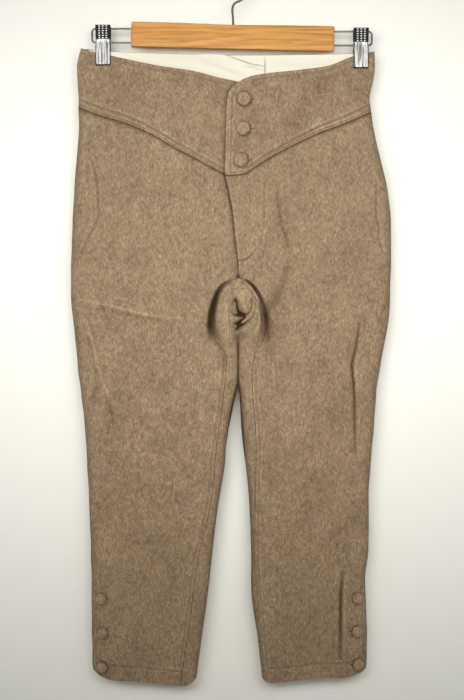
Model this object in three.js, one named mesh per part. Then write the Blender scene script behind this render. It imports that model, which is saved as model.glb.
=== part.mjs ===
// High-waisted wool trousers, hung by their waist from a wooden clip hanger.
// Millimetres. +Z is up, the front faces -Y, and the wearer's right side is at -X.
// The origin is the inside top of the hanger's hook, where a rail holds the whole thing.

import * as THREE from 'three';
import { mergeVertices } from 'three/addons/utils/BufferGeometryUtils.js';

// Driving dimensions of the cloth.
const WOOL = 2.0;
const FACING = 1.0;
const GAP = 0.3;
const HALF_GAP = GAP / 2;
const SEAM_GAP = 0.25;
const FORK_Z = -433.5;
const FORK_CURVE_HEIGHT = 24;
const FACING_DEPTH = 72;
const FLY_END_Z = -411;
const FLY_UNDERLAP = 18;
const YOKE_UNDERLAP = 32;
const OVERLAP_RAISE = 0.6;
const UNDERLAP_RECESS = 1.9;
const SLIT_TOP_Z = -851;
const SLIT_UNDERLAP_ANGLE = -60;
const SLIT_RECESS = 2.5;
const WAIST_BEND_ENDS_Z = -232;
const YOKE_MIDDLE_Z = -200;
const CLIP_BITE_Z = -130;
// How the layers at the centre front end: the last columns, and the lengths over which they lift.
const CENTRE_BAND = 9.5;
const LAST_COLUMN = { least: 3.5, pastUnderlap: 1.8 };
const UNDERLAP_FADE = 24;
const OVERLAP_LIFT = { flat: 20, fade: 25 };
const UNDERLAP_DIP = { start: 9, fade: 7 };
const LIFT_FADE_ABOVE_FORK = 2;
const WAIST_BUTTON = 19;
const CUFF_BUTTON = 15;

// Driving dimensions of the hanger.
const CLIP_X = { right: -182, left: 178.7 };
const CLIP_TOP_Z = { right: -81.7, left: -85.7 };
const CLIP_WIDTH = 21;
const CLIP_HEIGHT = 57.5;
const CLIP_PLATE = 1.0;
const GRIP_HEIGHT = 19.5;
const BAR = {
  length: 284, height: 35, thickness: 12, centreX: -0.7, centreZ: -97.4, tiltDegrees: 1.33, bevel: 1.2,
};
const RAIL_DIAMETER = 2.5;
const RAIL_SPACING = 19.5;
const RAIL_BELOW_CLIP_TOP = 4.2;
const RAIL_END_PAST_CLIP = 15.5;
const HOOK_WIRE = 3;
const HOOK_RADIUS = 25;

// The garment's edges by height, outermost first on each side.
const OUTER_EDGE = {
  right: [
    { z: -112, x: -213 }, { z: -138, x: -218.7 }, { z: -166, x: -217.3 }, { z: -228, x: -216 },
    { z: -264, x: -218.7 }, { z: -320, x: -223 }, { z: -404, x: -226.4 }, { z: -460, x: -227 },
    { z: -516, x: -221.5 }, { z: -572, x: -216 }, { z: -628, x: -209 }, { z: -712, x: -203.3 },
    { z: -824, x: -199 }, { z: -964, x: -197 }, { z: -1005, x: -194.5 },
  ],
  left: [
    { z: -112, x: 197.5 }, { z: -138, x: 198.5 }, { z: -152, x: 197 }, { z: -180, x: 191.5 },
    { z: -196, x: 192 }, { z: -236, x: 198.5 }, { z: -278, x: 208.3 }, { z: -320, x: 217.5 },
    { z: -376, x: 221 }, { z: -488, x: 218 }, { z: -530, x: 211 }, { z: -586, x: 201.3 },
    { z: -642, x: 197 }, { z: -726, x: 190 }, { z: -810, x: 189.4 }, { z: -852, x: 185 },
    { z: -894, x: 186 }, { z: -950, x: 187.3 }, { z: -1005, x: 184 },
  ],
};
const INNER_EDGE = {
  right: [
    { z: -112, x: 6.6 }, { z: -434, x: 6.6 }, { z: -518, x: 6.4 }, { z: -584, x: 6 }, { z: -600, x: 3.2 },
    { z: -628, x: -3 }, { z: -670, x: -10 }, { z: -698, x: -12 }, { z: -754, x: -21.3 },
    { z: -810, x: -28.3 }, { z: -880, x: -36 }, { z: -936, x: -43.7 }, { z: -1005, x: -53 },
  ],
  left: [
    { z: -112, x: 7.2 }, { z: -434, x: 7.2 }, { z: -518, x: 7.2 }, { z: -584, x: 7.4 }, { z: -600, x: 8.8 },
    { z: -656, x: 12.3 }, { z: -726, x: 20.7 }, { z: -810, x: 24.9 }, { z: -880, x: 25.8 },
    { z: -936, x: 34 }, { z: -1005, x: 41.5 },
  ],
};

// Where the front piece ends at the inseam below the fork; the back piece wraps round to it.
const INSEAM = {
  right: [
    { z: -433.5, x: 6.6 }, { z: -447, x: -15.7 }, { z: -472, x: -26.9 }, { z: -500, x: -31 },
    { z: -519, x: -26.9 }, { z: -532, x: -17.5 }, { z: -546, x: -9.6 }, { z: -615, x: -15.7 },
    { z: -670, x: -23.5 }, { z: -746, x: -31 }, { z: -830, x: -50 }, { z: -886, x: -57 },
    { z: -1005, x: -74 },
  ],
  left: [
    { z: -433.5, x: 7.2 }, { z: -442, x: 23 }, { z: -459, x: 36 }, { z: -477, x: 41.7 },
    { z: -501, x: 45.9 }, { z: -522, x: 41.7 }, { z: -537, x: 32 }, { z: -572, x: 26.3 },
    { z: -662, x: 31.9 }, { z: -725, x: 31 }, { z: -774, x: 30.5 }, { z: -844, x: 31 },
    { z: -1005, x: 46 },
  ],
};

// The free edge of the upper layer at the centre front: the yoke's overlap, then the fly.
const YOKE_OVERLAP = [
  { z: -159, x: 13.2 }, { z: -166, x: 2.5 }, { z: -175.5, x: -5.6 }, { z: -186, x: -8.3 },
  { z: -200, x: -9.5 }, { z: -254, x: -10.8 }, { z: -293, x: -11.8 },
];
const FLY_EDGE = [
  { z: -292, x: -11.6 }, { z: -316, x: -5.9 }, { z: -344, x: -0.7 }, { z: -379, x: 2.8 },
  { z: -410, x: 6.6 }, { z: -433.5, x: 6.9 },
];

// Edges that run across, by x.
const WAIST_TOP = {
  right: [
    { x: -219, z: -112.6 }, { x: -170, z: -124 }, { x: -108, z: -138 }, { x: -53.5, z: -147.3 },
    { x: -21, z: -156.3 }, { x: 0, z: -160.5 }, { x: 30, z: -167 },
  ],
  left: [
    { x: 13.2, z: -159 }, { x: 26.3, z: -154 }, { x: 48, z: -150 }, { x: 93.5, z: -144.7 },
    { x: 134, z: -138 }, { x: 161, z: -127 }, { x: 180, z: -121.3 }, { x: 199, z: -117.9 },
  ],
};
const YOKE_SEAM = {
  right: [
    { x: -219, z: -196 }, { x: -189, z: -208 }, { x: -146, z: -221.4 }, { x: -112, z: -236.7 },
    { x: -81.5, z: -254.3 }, { x: -56, z: -267.5 }, { x: -27, z: -283.3 }, { x: -10, z: -291 },
    { x: 24, z: -297 },
  ],
  left: [
    { x: -12, z: -292.3 }, { x: 2, z: -292.6 }, { x: 17.9, z: -289.5 }, { x: 28, z: -283 },
    { x: 55.7, z: -265.5 }, { x: 86.5, z: -249.4 }, { x: 118, z: -234.7 }, { x: 155, z: -220.7 },
    { x: 199, z: -201 },
  ],
};
const BACK_TOP = [
  { x: -219, z: -112.6 }, { x: -170, z: -117 }, { x: -60, z: -120 }, { x: 60, z: -121 },
  { x: 170, z: -120 }, { x: 199, z: -117.9 },
];
const HEM = {
  right: [
    { x: -198, z: -980 }, { x: -193, z: -984 }, { x: -184, z: -991 }, { x: -168, z: -996.5 }, { x: -137, z: -998.5 },
    { x: -107, z: -1001 }, { x: -68, z: -1004.3 }, { x: -57, z: -999.5 }, { x: -50, z: -992 },
  ],
  left: [
    { x: 40, z: -994 }, { x: 46, z: -999 }, { x: 56, z: -1000.5 }, { x: 86.5, z: -997.4 }, { x: 124, z: -993.5 },
    { x: 156, z: -993 }, { x: 175, z: -987 }, { x: 186, z: -980 },
  ],
};
const HEM_REFERENCE_Z = -1000;

// Half depths of the flat tube by height, and how far its edges take to round off.
const DEPTHS = [
  { z: -112, front: 7, back: 6, outer: 5, inner: 8 },
  { z: -180, front: 12, back: 10, outer: 8, inner: 8 },
  { z: -250, front: 14, back: 14, outer: 12, inner: 9 },
  { z: -340, front: 16, back: 19, outer: 15, inner: 9 },
  { z: -433, front: 16.5, back: 19, outer: 16, inner: 10 },
  { z: -520, front: 15, back: 16, outer: 15, inner: 11 },
  { z: -640, front: 13.5, back: 13.5, outer: 13, inner: 11 },
  { z: -760, front: 12.5, back: 12.5, outer: 12, inner: 11 },
  { z: -880, front: 11, back: 11, outer: 10, inner: 10 },
  { z: -1005, front: 10, back: 10, outer: 9, inner: 9 },
];
const PINCH = { front: 2.7, back: 3.3, flat: 13, frontBow: 11.5, backBow: 5.5, fullAboveZ: -145, goneBelowZ: -222 };

// Heights of the rows of points, closer together round the fork.
const ROWS_ABOVE_FORK = [-293, -320, -348, -376, -398, -412, -422, -429];
const ROWS_OVER_SEAT = [-120, -134, -152, -180, -214, -252];
const ROWS_AT_FORK = [-433.5, -438, -447, -459, -472, -486, -500, -514, -528, -541, -556];
const ROWS_DOWN_LEG = [-582, -612, -648, -688, -730, -772, -812, -848, -851.5, -857, -890, -925, -958, -982];

// The largest folds: a line along each one, how deep it lies (minus for a ridge) and its half width.
const FRONT_FOLDS = [
  { line: [[61, -306], [70, -361], [81, -409], [80, -430]], depth: 3.2, width: 13 },
  { line: [[80, -428], [71, -452], [57, -480], [54, -512], [58, -530]], depth: 5.5, width: 13 },
  { line: [[122, -158], [101, -191], [93, -218], [75, -236]], depth: 2.4, width: 13 },
  { line: [[175, -491], [173, -522], [166, -560], [169, -614], [170, -676]], depth: 2.6, width: 11 },
  { line: [[179, -746], [174, -763], [167, -781]], depth: 1.8, width: 11 },
  { line: [[44, -774], [60, -777], [80, -782]], depth: 1.8, width: 9 },
  { line: [[-226, -461], [-186, -471], [-158, -480], [-117, -488], [-60, -500]], depth: -2.2, width: 12 },
  { line: [[-214, -480], [-199, -519], [-190, -557], [-175, -593], [-170, -630]], depth: 2.6, width: 12 },
  { line: [[-164, -800], [-120, -804], [-84, -801]], depth: 1.6, width: 14 },
  { line: [[-120, -330], [-112, -400], [-98, -470]], depth: -1.8, width: 30 },
  { line: [[140, -330], [136, -420], [128, -520]], depth: -1.8, width: 28 },
];
const BACK_FOLDS = [
  { line: [[-20, -330], [-58, -380], [-84, -420], [-96, -452]], depth: 4.0, width: 15 },
  { line: [[34, -322], [70, -384], [92, -424], [112, -458]], depth: 3.6, width: 15 },
  { line: [[-26, -452], [-66, -470], [-118, -482]], depth: 3.2, width: 13 },
  { line: [[30, -456], [78, -470], [136, -474]], depth: 3.4, width: 13 },
  { line: [[-176, -560], [-130, -590], [-88, -606]], depth: 2.4, width: 15 },
  { line: [[160, -600], [118, -622], [78, -630]], depth: 2.2, width: 14 },
  { line: [[-150, -792], [-110, -798], [-70, -790]], depth: 1.6, width: 14 },
  { line: [[60, -776], [104, -784], [150, -776]], depth: 1.7, width: 13 },
  { line: [[-110, -180], [-104, -250], [-112, -320]], depth: -1.8, width: 24 },
  { line: [[112, -176], [104, -246], [108, -318]], depth: -1.8, width: 24 },
];

// The groove beside the inner thigh under the fork, and the hollow between the two thighs.
const CRESCENT = { depth: 7.5, width: 7, topZ: -436, fullZ: -456, fadeZ: -505, endZ: -545 };
const HOLLOW = { topZ: -446, bottomZ: -520, shift: { right: -5, left: 17 } };

// Column positions as shares of a flat stretch, and as angles round an edge.
const EDGE_ANGLES = [0, 22, 45, 68, 90];
const FRONT_SHARES = [0.13, 0.27, 0.41, 0.55, 0.68, 0.79, 0.89, 1];
const BACK_SHARES = [0, 0.027, 0.055, 0.085, 0.118, 0.155, 0.2, 0.26, 0.34, 0.44, 0.56, 0.7, 0.85, 1];
const YOKE_SHARES = [0, 0.05, 0.12, 0.21, 0.38, 0.58, 0.79, 1];

const COLOURS = {
  wool: { color: 0xa38c70, roughness: 0.95, metalness: 0 },
  facing: { color: 0xf2edda, roughness: 0.9, metalness: 0 },
  wood: { color: 0xe0a868, roughness: 0.5, metalness: 0 },
  chrome: { color: 0xc4c6c8, roughness: 0.2, metalness: 1 },
  grip: { color: 0x1d1c1c, roughness: 0.7, metalness: 0 },
};

const SIDES = ['right', 'left'];
const outward = { right: -1, left: 1 };
const group = new THREE.Group();

const mix = (a, b, t) => a + (b - a) * t;
const clamp01 = (t) => Math.min(1, Math.max(0, t));
const smooth = (t) => clamp01(t) ** 2 * (3 - 2 * clamp01(t));
const radians = (degrees) => (degrees * Math.PI) / 180;

// A smooth value from a table whose rows rise or fall steadily in the key column.
function lookUp(table, key, value, at) {
  const rising = table[0][key] < table[table.length - 1][key];
  const rows = rising ? table : [...table].reverse();
  const last = rows.length - 1;
  if (at <= rows[0][key]) return rows[0][value];
  if (at >= rows[last][key]) return rows[last][value];
  let i = 0;
  while (at > rows[i + 1][key]) i += 1;
  const slope = (k) => {
    const before = rows[Math.max(k - 1, 0)];
    const after = rows[Math.min(k + 1, last)];
    return (after[value] - before[value]) / (after[key] - before[key]);
  };
  const span = rows[i + 1][key] - rows[i][key];
  const t = (at - rows[i][key]) / span;
  const startPart = rows[i][value] * (1 + 2 * t) * (1 - t) ** 2 + slope(i) * span * t * (1 - t) ** 2;
  const endPart = rows[i + 1][value] * t * t * (3 - 2 * t) - slope(i + 1) * span * t * t * (1 - t);
  return startPart + endPart;
}

// How open the tube is at the centre: 1 above the fork, 0 below it, round in between.
function openness(z) {
  const down = (FORK_Z + FORK_CURVE_HEIGHT - z) / FORK_CURVE_HEIGHT;
  if (down <= 0) return 1;
  return down >= 1 ? 0 : Math.sqrt(1 - down * down);
}

// A fold's depth at a point: full along its line, fading to its sides and its ends.
function foldDepth(fold, x, z) {
  let nearest = { distance: Infinity, along: 0 };
  const steps = fold.line.length - 1;
  for (let i = 0; i < steps; i += 1) {
    const [ax, az] = fold.line[i];
    const [bx, bz] = fold.line[i + 1];
    const lengthSquared = (bx - ax) ** 2 + (bz - az) ** 2;
    const t = clamp01(((x - ax) * (bx - ax) + (z - az) * (bz - az)) / lengthSquared);
    const distance = Math.hypot(x - mix(ax, bx, t), z - mix(az, bz, t));
    if (distance < nearest.distance) nearest = { distance, along: (i + t) / steps };
  }
  const ends = Math.sqrt(Math.max(0, Math.sin(Math.PI * mix(0.06, 0.94, nearest.along))));
  return fold.depth * ends * Math.exp(-((nearest.distance / fold.width) ** 2));
}

// The groove that runs down beside the inner thigh, along the inseam.
function crescentDepth(side, x, z) {
  if (z > CRESCENT.topZ || z < CRESCENT.endZ) return 0;
  const fadeIn = smooth((CRESCENT.topZ - z) / (CRESCENT.topZ - CRESCENT.fullZ));
  const fadeOut = smooth((z - CRESCENT.endZ) / (CRESCENT.fadeZ - CRESCENT.endZ));
  const away = (x - lookUp(INSEAM[side], 'z', 'x', z)) / CRESCENT.width;
  return CRESCENT.depth * fadeIn * fadeOut * Math.exp(-away * away);
}

// Half depth of the tube: the clips pinch the waist, and it bows open between them.
function halfDepth(face, x, z) {
  const body = lookUp(DEPTHS, 'z', face, z);
  const pinched = smooth((z - PINCH.goneBelowZ) / (PINCH.fullAboveZ - PINCH.goneBelowZ));
  const bowStart = CLIP_X.right + PINCH.flat;
  const across = clamp01((x - bowStart) / (CLIP_X.left - PINCH.flat - bowStart));
  const bow = Math.sin(Math.PI * across) ** 1.3 * PINCH[`${face}Bow`];
  return mix(body, PINCH[face] + bow, pinched);
}

// A point of the cloth's wall. face is front or back; edge is outer, inner or none; angle is
// measured round that edge from its outermost line; inset is the depth under the outside.
function wallPoint({ side, face, edge, angle, x, z, inset, raise = 0 }) {
  const facing = face === 'front' ? -1 : 1;
  const outer = lookUp(OUTER_EDGE[side], 'z', 'x', z);
  const inner = lookUp(INNER_EDGE[side], 'z', 'x', z);
  const depth = halfDepth(face, edge === 'outer' ? outer : x, z) - inset;
  const turn = radians(angle);
  let pointX = x;
  let share = 1;
  if (edge === 'outer') {
    const radius = roundingAt('outer', z) - inset;
    pointX = outer - outward[side] * (inset + radius * (1 - Math.cos(turn)));
    share = Math.sin(turn);
  }
  if (edge === 'inner') {
    const radius = roundingAt('inner', z) - inset;
    const open = openness(z);
    const closedX = inner + outward[side] * (inset + radius * (1 - Math.cos(turn)));
    pointX = mix(closedX, x, open);
    share = mix(Math.sin(turn), 1, open);
  }
  const folds = face === 'front' ? FRONT_FOLDS : BACK_FOLDS;
  let sunk = folds.reduce((sum, fold) => sum + foldDepth(fold, pointX, z), 0);
  if (face === 'front') sunk += crescentDepth(side, pointX, z);
  const y = facing * (depth * share - sunk * share + raise) + facing * HALF_GAP;
  return new THREE.Vector3(pointX + hollowShift(side, pointX, y, z), y, z);
}

function roundingAt(edge, z) {
  return lookUp(DEPTHS, 'z', edge, z);
}

// Under the fork the thighs part at the front and stay together at the back.
function hollowShift(side, x, y, z) {
  if (z > HOLLOW.topZ || z < HOLLOW.bottomZ) return 0;
  const along = (HOLLOW.topZ - z) / (HOLLOW.topZ - HOLLOW.bottomZ);
  const inner = lookUp(INNER_EDGE[side], 'z', 'x', z);
  const seam = lookUp(INSEAM[side], 'z', 'x', z);
  const nearInner = 1 - smooth((x - inner) / (seam - inner));
  const nearFront = smooth(-y / lookUp(DEPTHS, 'z', 'front', z));
  return HOLLOW.shift[side] * Math.sin(Math.PI * along) ** 0.8 * nearInner * nearFront;
}

// A point of the front face at a given x, inside the outer edge's rounding.
function facePoint(side, face, x, z, inset, raise = 0) {
  const inner = lookUp(INNER_EDGE[side], 'z', 'x', z);
  const radius = roundingAt('inner', z);
  const fromInner = outward[side] * (x - inner);
  if (fromInner >= radius) {
    return wallPoint({ side, face, edge: 'none', angle: 90, x, z, inset, raise });
  }
  const angle = (Math.acos(1 - Math.max(0, fromInner) / radius) * 180) / Math.PI;
  return wallPoint({ side, face, edge: 'inner', angle, x, z, inset, raise });
}

// A closed thin wall from a grid of outer points and a grid of inner points.
function wallSolid(outside, inside) {
  const rows = outside.length;
  const columns = outside[0].length;
  const points = [...outside.flat(), ...inside.flat()];
  const at = (row, column, layer) => layer * rows * columns + row * columns + column;
  const faces = [];
  const quad = (a, b, c, d) => faces.push(a, b, c, a, c, d);
  for (let r = 0; r + 1 < rows; r += 1) {
    for (let c = 0; c + 1 < columns; c += 1) {
      quad(at(r, c, 0), at(r + 1, c, 0), at(r + 1, c + 1, 0), at(r, c + 1, 0));
      quad(at(r, c, 1), at(r, c + 1, 1), at(r + 1, c + 1, 1), at(r + 1, c, 1));
    }
    quad(at(r, 0, 0), at(r, 0, 1), at(r + 1, 0, 1), at(r + 1, 0, 0));
    quad(at(r, columns - 1, 0), at(r + 1, columns - 1, 0), at(r + 1, columns - 1, 1), at(r, columns - 1, 1));
  }
  for (let c = 0; c + 1 < columns; c += 1) {
    quad(at(0, c, 0), at(0, c + 1, 0), at(0, c + 1, 1), at(0, c, 1));
    quad(at(rows - 1, c, 0), at(rows - 1, c, 1), at(rows - 1, c + 1, 1), at(rows - 1, c + 1, 0));
  }
  const geometry = new THREE.BufferGeometry().setFromPoints(points);
  geometry.setIndex(signedVolume(points, faces) < 0 ? faces.reverse() : faces);
  return geometry;
}

function signedVolume(points, faces) {
  let sum = 0;
  for (let i = 0; i < faces.length; i += 3) {
    const [a, b, c] = [points[faces[i]], points[faces[i + 1]], points[faces[i + 2]]];
    sum += a.dot(new THREE.Vector3().crossVectors(b, c)) / 6;
  }
  return sum;
}

function add(name, geometry, look) {
  const mesh = new THREE.Mesh(geometry, new THREE.MeshStandardMaterial(COLOURS[look]));
  mesh.name = name;
  group.add(mesh);
  return mesh;
}

// Outside and inside grids from one function of row, column and inset.
function layers(rowCount, columnCount, outsideInset, thickness, pointAt) {
  const grid = (inset) => Array.from({ length: rowCount }, (_, row) =>
    Array.from({ length: columnCount }, (__, column) => pointAt(row, column, inset)));
  return wallSolid(grid(outsideInset), grid(outsideInset + thickness));
}

// A point whose height depends on its x: a few rounds settle both.
function settle(startZ, pointAtZ, zAtX) {
  let z = startZ;
  let point = pointAtZ(z);
  for (let i = 0; i < 6; i += 1) {
    z = zAtX(point.x);
    point = pointAtZ(z);
  }
  return point;
}

// Where a front piece ends towards the centre: past the fly on the under side, then the inseam.
function frontEndX(side, z) {
  if (z < FORK_Z) return lookUp(INSEAM[side], 'z', 'x', z) + outward[side] * SEAM_GAP;
  const edge = lookUp(FLY_EDGE, 'z', 'x', z);
  if (side === 'left') return edge + SEAM_GAP;
  return edge - SEAM_GAP + FLY_UNDERLAP * flyUnderlapShare(z);
}

function flyUnderlapShare(z) {
  return smooth((z - FLY_END_Z) / UNDERLAP_FADE);
}

// The raise of the upper layer, or the sinking of the under layer, near the centre front.
function centreRaise(side, x, z, freeEdge) {
  const edge = lookUp(freeEdge, 'z', 'x', z);
  const fade = LIFT_FADE_ABOVE_FORK;
  const strength = smooth((z - FORK_Z - fade) / (FLY_END_Z - FORK_Z - 2 * fade));
  if (side === 'left') {
    return OVERLAP_RAISE * strength * smooth(1 - (x - edge - OVERLAP_LIFT.flat) / OVERLAP_LIFT.fade);
  }
  return -UNDERLAP_RECESS * strength * smooth((x - edge + UNDERLAP_DIP.start) / UNDERLAP_DIP.fade);
}

// The x of a column of a front piece, with the last ones close to its centre edge.
function frontColumnX(side, share, z, endX, underlap) {
  const outer = lookUp(OUTER_EDGE[side], 'z', 'x', z);
  const start = outer - outward[side] * roundingAt('outer', z);
  const denseStart = endX + outward[side] * (CENTRE_BAND + underlap);
  if (share <= 1) return mix(start, denseStart, share);
  if (share > 2) return endX;
  return endX + outward[side] * Math.max(LAST_COLUMN.least, underlap + LAST_COLUMN.pastUnderlap);
}

const FRONT_COLUMNS = [
  ...EDGE_ANGLES.map((angle) => ({ angle })),
  ...FRONT_SHARES.map((share) => ({ share })),
  { share: 2 },
  { share: 3 },
];

function blendTowards(z, edgeZ, farZ) {
  return clamp01((z - farZ) / (edgeZ - farZ));
}

// The hem's own line bends the lowest rows, and the waist or yoke line bends the top ones.
function rowHeight(side, referenceZ, x, top, topReference, topFarZ) {
  const nearTop = blendTowards(referenceZ, topReference, topFarZ);
  const nearHem = blendTowards(referenceZ, HEM_REFERENCE_Z, HEM_REFERENCE_Z + 90);
  const topShift = (lookUp(top, 'x', 'z', x) - topReference) * nearTop;
  return referenceZ + topShift + (lookUp(HEM[side], 'x', 'z', x) - HEM_REFERENCE_Z) * nearHem;
}

function frontPiece(side) {
  const heights = [...ROWS_ABOVE_FORK, ...ROWS_AT_FORK, ...ROWS_DOWN_LEG, HEM_REFERENCE_Z];
  const seamTop = YOKE_SEAM[side].map(({ x, z }) => ({ x, z: z - SEAM_GAP }));
  const geometry = layers(heights.length, FRONT_COLUMNS.length, 0, WOOL, (row, column, inset) => {
    const { angle, share } = FRONT_COLUMNS[column];
    const pointAtZ = (z) => {
      if (share === undefined) return wallPoint({ side, face: 'front', edge: 'outer', angle, x: 0, z, inset });
      const underlap = side === 'right' && z > FORK_Z ? FLY_UNDERLAP * flyUnderlapShare(z) : 0;
      const x = frontColumnX(side, share, z, frontEndX(side, z), underlap);
      const raise = z > FORK_Z ? centreRaise(side, x, z, FLY_EDGE) : 0;
      return facePoint(side, 'front', x, z, inset, raise);
    };
    return settle(heights[row], pointAtZ, (x) =>
      rowHeight(side, heights[row], x, seamTop, ROWS_ABOVE_FORK[0], FORK_Z));
  });
  add(`front_${side}`, geometry, 'wool');
}

// A point of the back piece, by its distance along the cloth from the inner edge. Below the fork
// a distance under zero is on the front, where the back piece wraps round the thigh.
function alongBack(side, distance, z, inset) {
  const radius = roundingAt('inner', z);
  const face = distance < 0 ? 'front' : 'back';
  const inner = lookUp(INNER_EDGE[side], 'z', 'x', z);
  const length = edgeLength(face, inner, z);
  const reach = Math.abs(distance);
  const x = inner + outward[side] * (reach < length ? (radius * reach) / length : radius + reach - length);
  if (reach >= length) return wallPoint({ side, face, edge: 'none', angle: 90, x, z, inset });
  return wallPoint({ side, face, edge: 'inner', angle: (90 * reach) / length, x, z, inset });
}

// The length of cloth in the quarter turn at an inner edge.
function edgeLength(face, x, z) {
  return (Math.PI / 4) * (roundingAt('inner', z) + halfDepth(face, x, z));
}

function wrapDistance(side, z) {
  if (z >= FORK_Z) return SEAM_GAP;
  const inner = lookUp(INNER_EDGE[side], 'z', 'x', z);
  const wrap = Math.max(0, outward[side] * (lookUp(INSEAM[side], 'z', 'x', z) - inner) - SEAM_GAP);
  const radius = roundingAt('inner', z);
  const length = edgeLength('front', inner, z);
  if (wrap >= radius) return -(length + wrap - radius);
  return (-length * Math.acos(1 - wrap / radius)) / (Math.PI / 2);
}

// A back column's distance along the cloth. The column nearest to the inner edge lies right on
// it, so that the two thighs meet along a clean line.
function backDistance(column, start, end) {
  const distances = BACK_SHARES.map((share) => mix(start, end, share));
  if (start > 0) return distances[column];
  const nearest = distances.reduce((best, d, i) => (Math.abs(d) < Math.abs(distances[best]) ? i : best), 0);
  return column === nearest ? 0 : distances[column];
}

function backPiece(side) {
  const heights = [...ROWS_OVER_SEAT, ...ROWS_ABOVE_FORK, ...ROWS_AT_FORK, ...ROWS_DOWN_LEG, HEM_REFERENCE_Z];
  const turns = [...EDGE_ANGLES].reverse().slice(1);
  const columns = BACK_SHARES.length + turns.length;
  const geometry = layers(heights.length, columns, 0, WOOL, (row, column, inset) => {
    const pointAtZ = (z) => {
      if (column < BACK_SHARES.length) {
        const inner = lookUp(INNER_EDGE[side], 'z', 'x', z);
        const width = outward[side] * (lookUp(OUTER_EDGE[side], 'z', 'x', z) - inner);
        const flat = width - roundingAt('outer', z) - roundingAt('inner', z);
        const end = edgeLength('back', inner, z) + flat;
        return alongBack(side, backDistance(column, wrapDistance(side, z), end), z, inset);
      }
      const plain = turns[column - BACK_SHARES.length];
      const wrapped = smooth((SLIT_TOP_Z - 1 - z) / 4);
      const angle = mix(plain, mix(90, SLIT_UNDERLAP_ANGLE, (90 - plain) / 90), wrapped);
      const under = SLIT_RECESS * smooth((34 - angle) / 26) * smooth((SLIT_TOP_Z + 2.5 - z) / 2.5);
      const face = angle < 0 ? 'front' : 'back';
      return wallPoint({ side, face, edge: 'outer', angle: Math.abs(angle), x: 0, z, inset: inset + under });
    };
    return settle(heights[row], pointAtZ, (x) =>
      rowHeight(side, heights[row], x, BACK_TOP, ROWS_OVER_SEAT[0], WAIST_BEND_ENDS_Z));
  });
  add(`back_${side}`, geometry, 'wool');
}

function yokePiece(side) {
  const endX = (z) => {
    const edge = lookUp(YOKE_OVERLAP, 'z', 'x', z);
    return side === 'left' ? edge : Math.min(edge + YOKE_UNDERLAP, 24);
  };
  const geometry = layers(YOKE_SHARES.length, FRONT_COLUMNS.length, 0, WOOL, (row, column, inset) => {
    const { angle, share } = FRONT_COLUMNS[column];
    const pointAtZ = (z) => {
      if (share === undefined) return wallPoint({ side, face: 'front', edge: 'outer', angle, x: 0, z, inset });
      const end = endX(z);
      const underlap = side === 'right' ? end - lookUp(YOKE_OVERLAP, 'z', 'x', z) : 0;
      const x = frontColumnX(side, share, z, end, underlap);
      return facePoint(side, 'front', x, z, inset, centreRaise(side, x, z, YOKE_OVERLAP));
    };
    const zAtX = (x) => mix(
      lookUp(WAIST_TOP[side], 'x', 'z', x),
      lookUp(YOKE_SEAM[side], 'x', 'z', x) + SEAM_GAP,
      YOKE_SHARES[row],
    );
    return settle(YOKE_MIDDLE_Z, pointAtZ, zAtX);
  });
  add(`yoke_${side}`, geometry, 'wool');
}

// The pale facing inside the back waist. The right one laps over the left one at the centre back,
// and its top edge is folded down on a slant there.
const FACING_SHAPES = {
  right: {
    innerX: 46, outerX: -203, layer: 1,
    top: [
      { x: -219, z: -114 }, { x: -170, z: -118 }, { x: -60, z: -121 }, { x: -13, z: -121.5 },
      { x: 10, z: -129 }, { x: 27, z: -135.5 }, { x: 46, z: -138 },
    ],
  },
  left: {
    innerX: -24, outerX: 183, layer: 0,
    top: [{ x: -24, z: -122 }, { x: 60, z: -122 }, { x: 170, z: -121 }, { x: 199, z: -119 }],
  },
};
const FACING_COLUMNS = 15;
const FACING_ROWS = 5;

function facingPiece(side) {
  const { innerX, outerX, layer, top } = FACING_SHAPES[side];
  const under = WOOL + GAP + 0.1;
  const geometry = layers(FACING_ROWS, FACING_COLUMNS, under, FACING, (row, column, inset) => {
    const x = mix(outerX, innerX, column / (FACING_COLUMNS - 1));
    const z = lookUp(top, 'x', 'z', x) - (FACING_DEPTH * row) / (FACING_ROWS - 1);
    const lifted = layer * (FACING + GAP) * smooth((x + 40) / 14);
    const half = x < INNER_EDGE.left[0].x ? 'right' : 'left';
    return wallPoint({ side: half, face: 'back', edge: 'none', angle: 90, x, z, inset: inset + lifted });
  });
  add(`facing_${side}`, geometry, 'facing');
}

// A cloth-covered button: a low dome on a flat back, standing just off the cloth.
const BUTTON_PROFILE = [
  { across: 0, up: 0 }, { across: 0.84, up: 0 }, { across: 1, up: 0.16 }, { across: 0.98, up: 0.3 },
  { across: 0.8, up: 0.44 }, { across: 0.45, up: 0.53 }, { across: 0, up: 0.56 },
];
const BUTTON_SIDES = 12;
const BUTTON_CLEARANCE = 0.45;

function button(name, side, x, z, diameter, raise) {
  const radius = diameter / 2;
  const profile = BUTTON_PROFILE.map(({ across, up }) => new THREE.Vector2(across * radius, up * radius));
  const mesh = add(name, closed(new THREE.LatheGeometry(profile, BUTTON_SIDES)), 'wool');
  const seat = facePoint(side, 'front', x, z, 0, raise);
  const above = facePoint(side, 'front', x, z + radius, 0, raise);
  const lean = Math.atan2(above.y - seat.y, radius);
  mesh.rotation.x = Math.PI - lean;
  mesh.position.set(x, seat.y - BUTTON_CLEARANCE, z);
}

function closed(geometry) {
  geometry.deleteAttribute('normal');
  geometry.deleteAttribute('uv');
  return mergeVertices(geometry, 1e-3);
}

const WAIST_BUTTONS = [{ x: 15, z: -186 }, { x: 14.1, z: -227.3 }, { x: 10.5, z: -271.5 }];
const CUFF_BUTTONS = {
  right: [{ x: -184.4, z: -883 }, { x: -182.6, z: -931 }, { x: -183.6, z: -978.5 }],
  left: [{ x: 173.5, z: -882 }, { x: 173, z: -928.7 }, { x: 174.5, z: -974.5 }],
};

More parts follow.
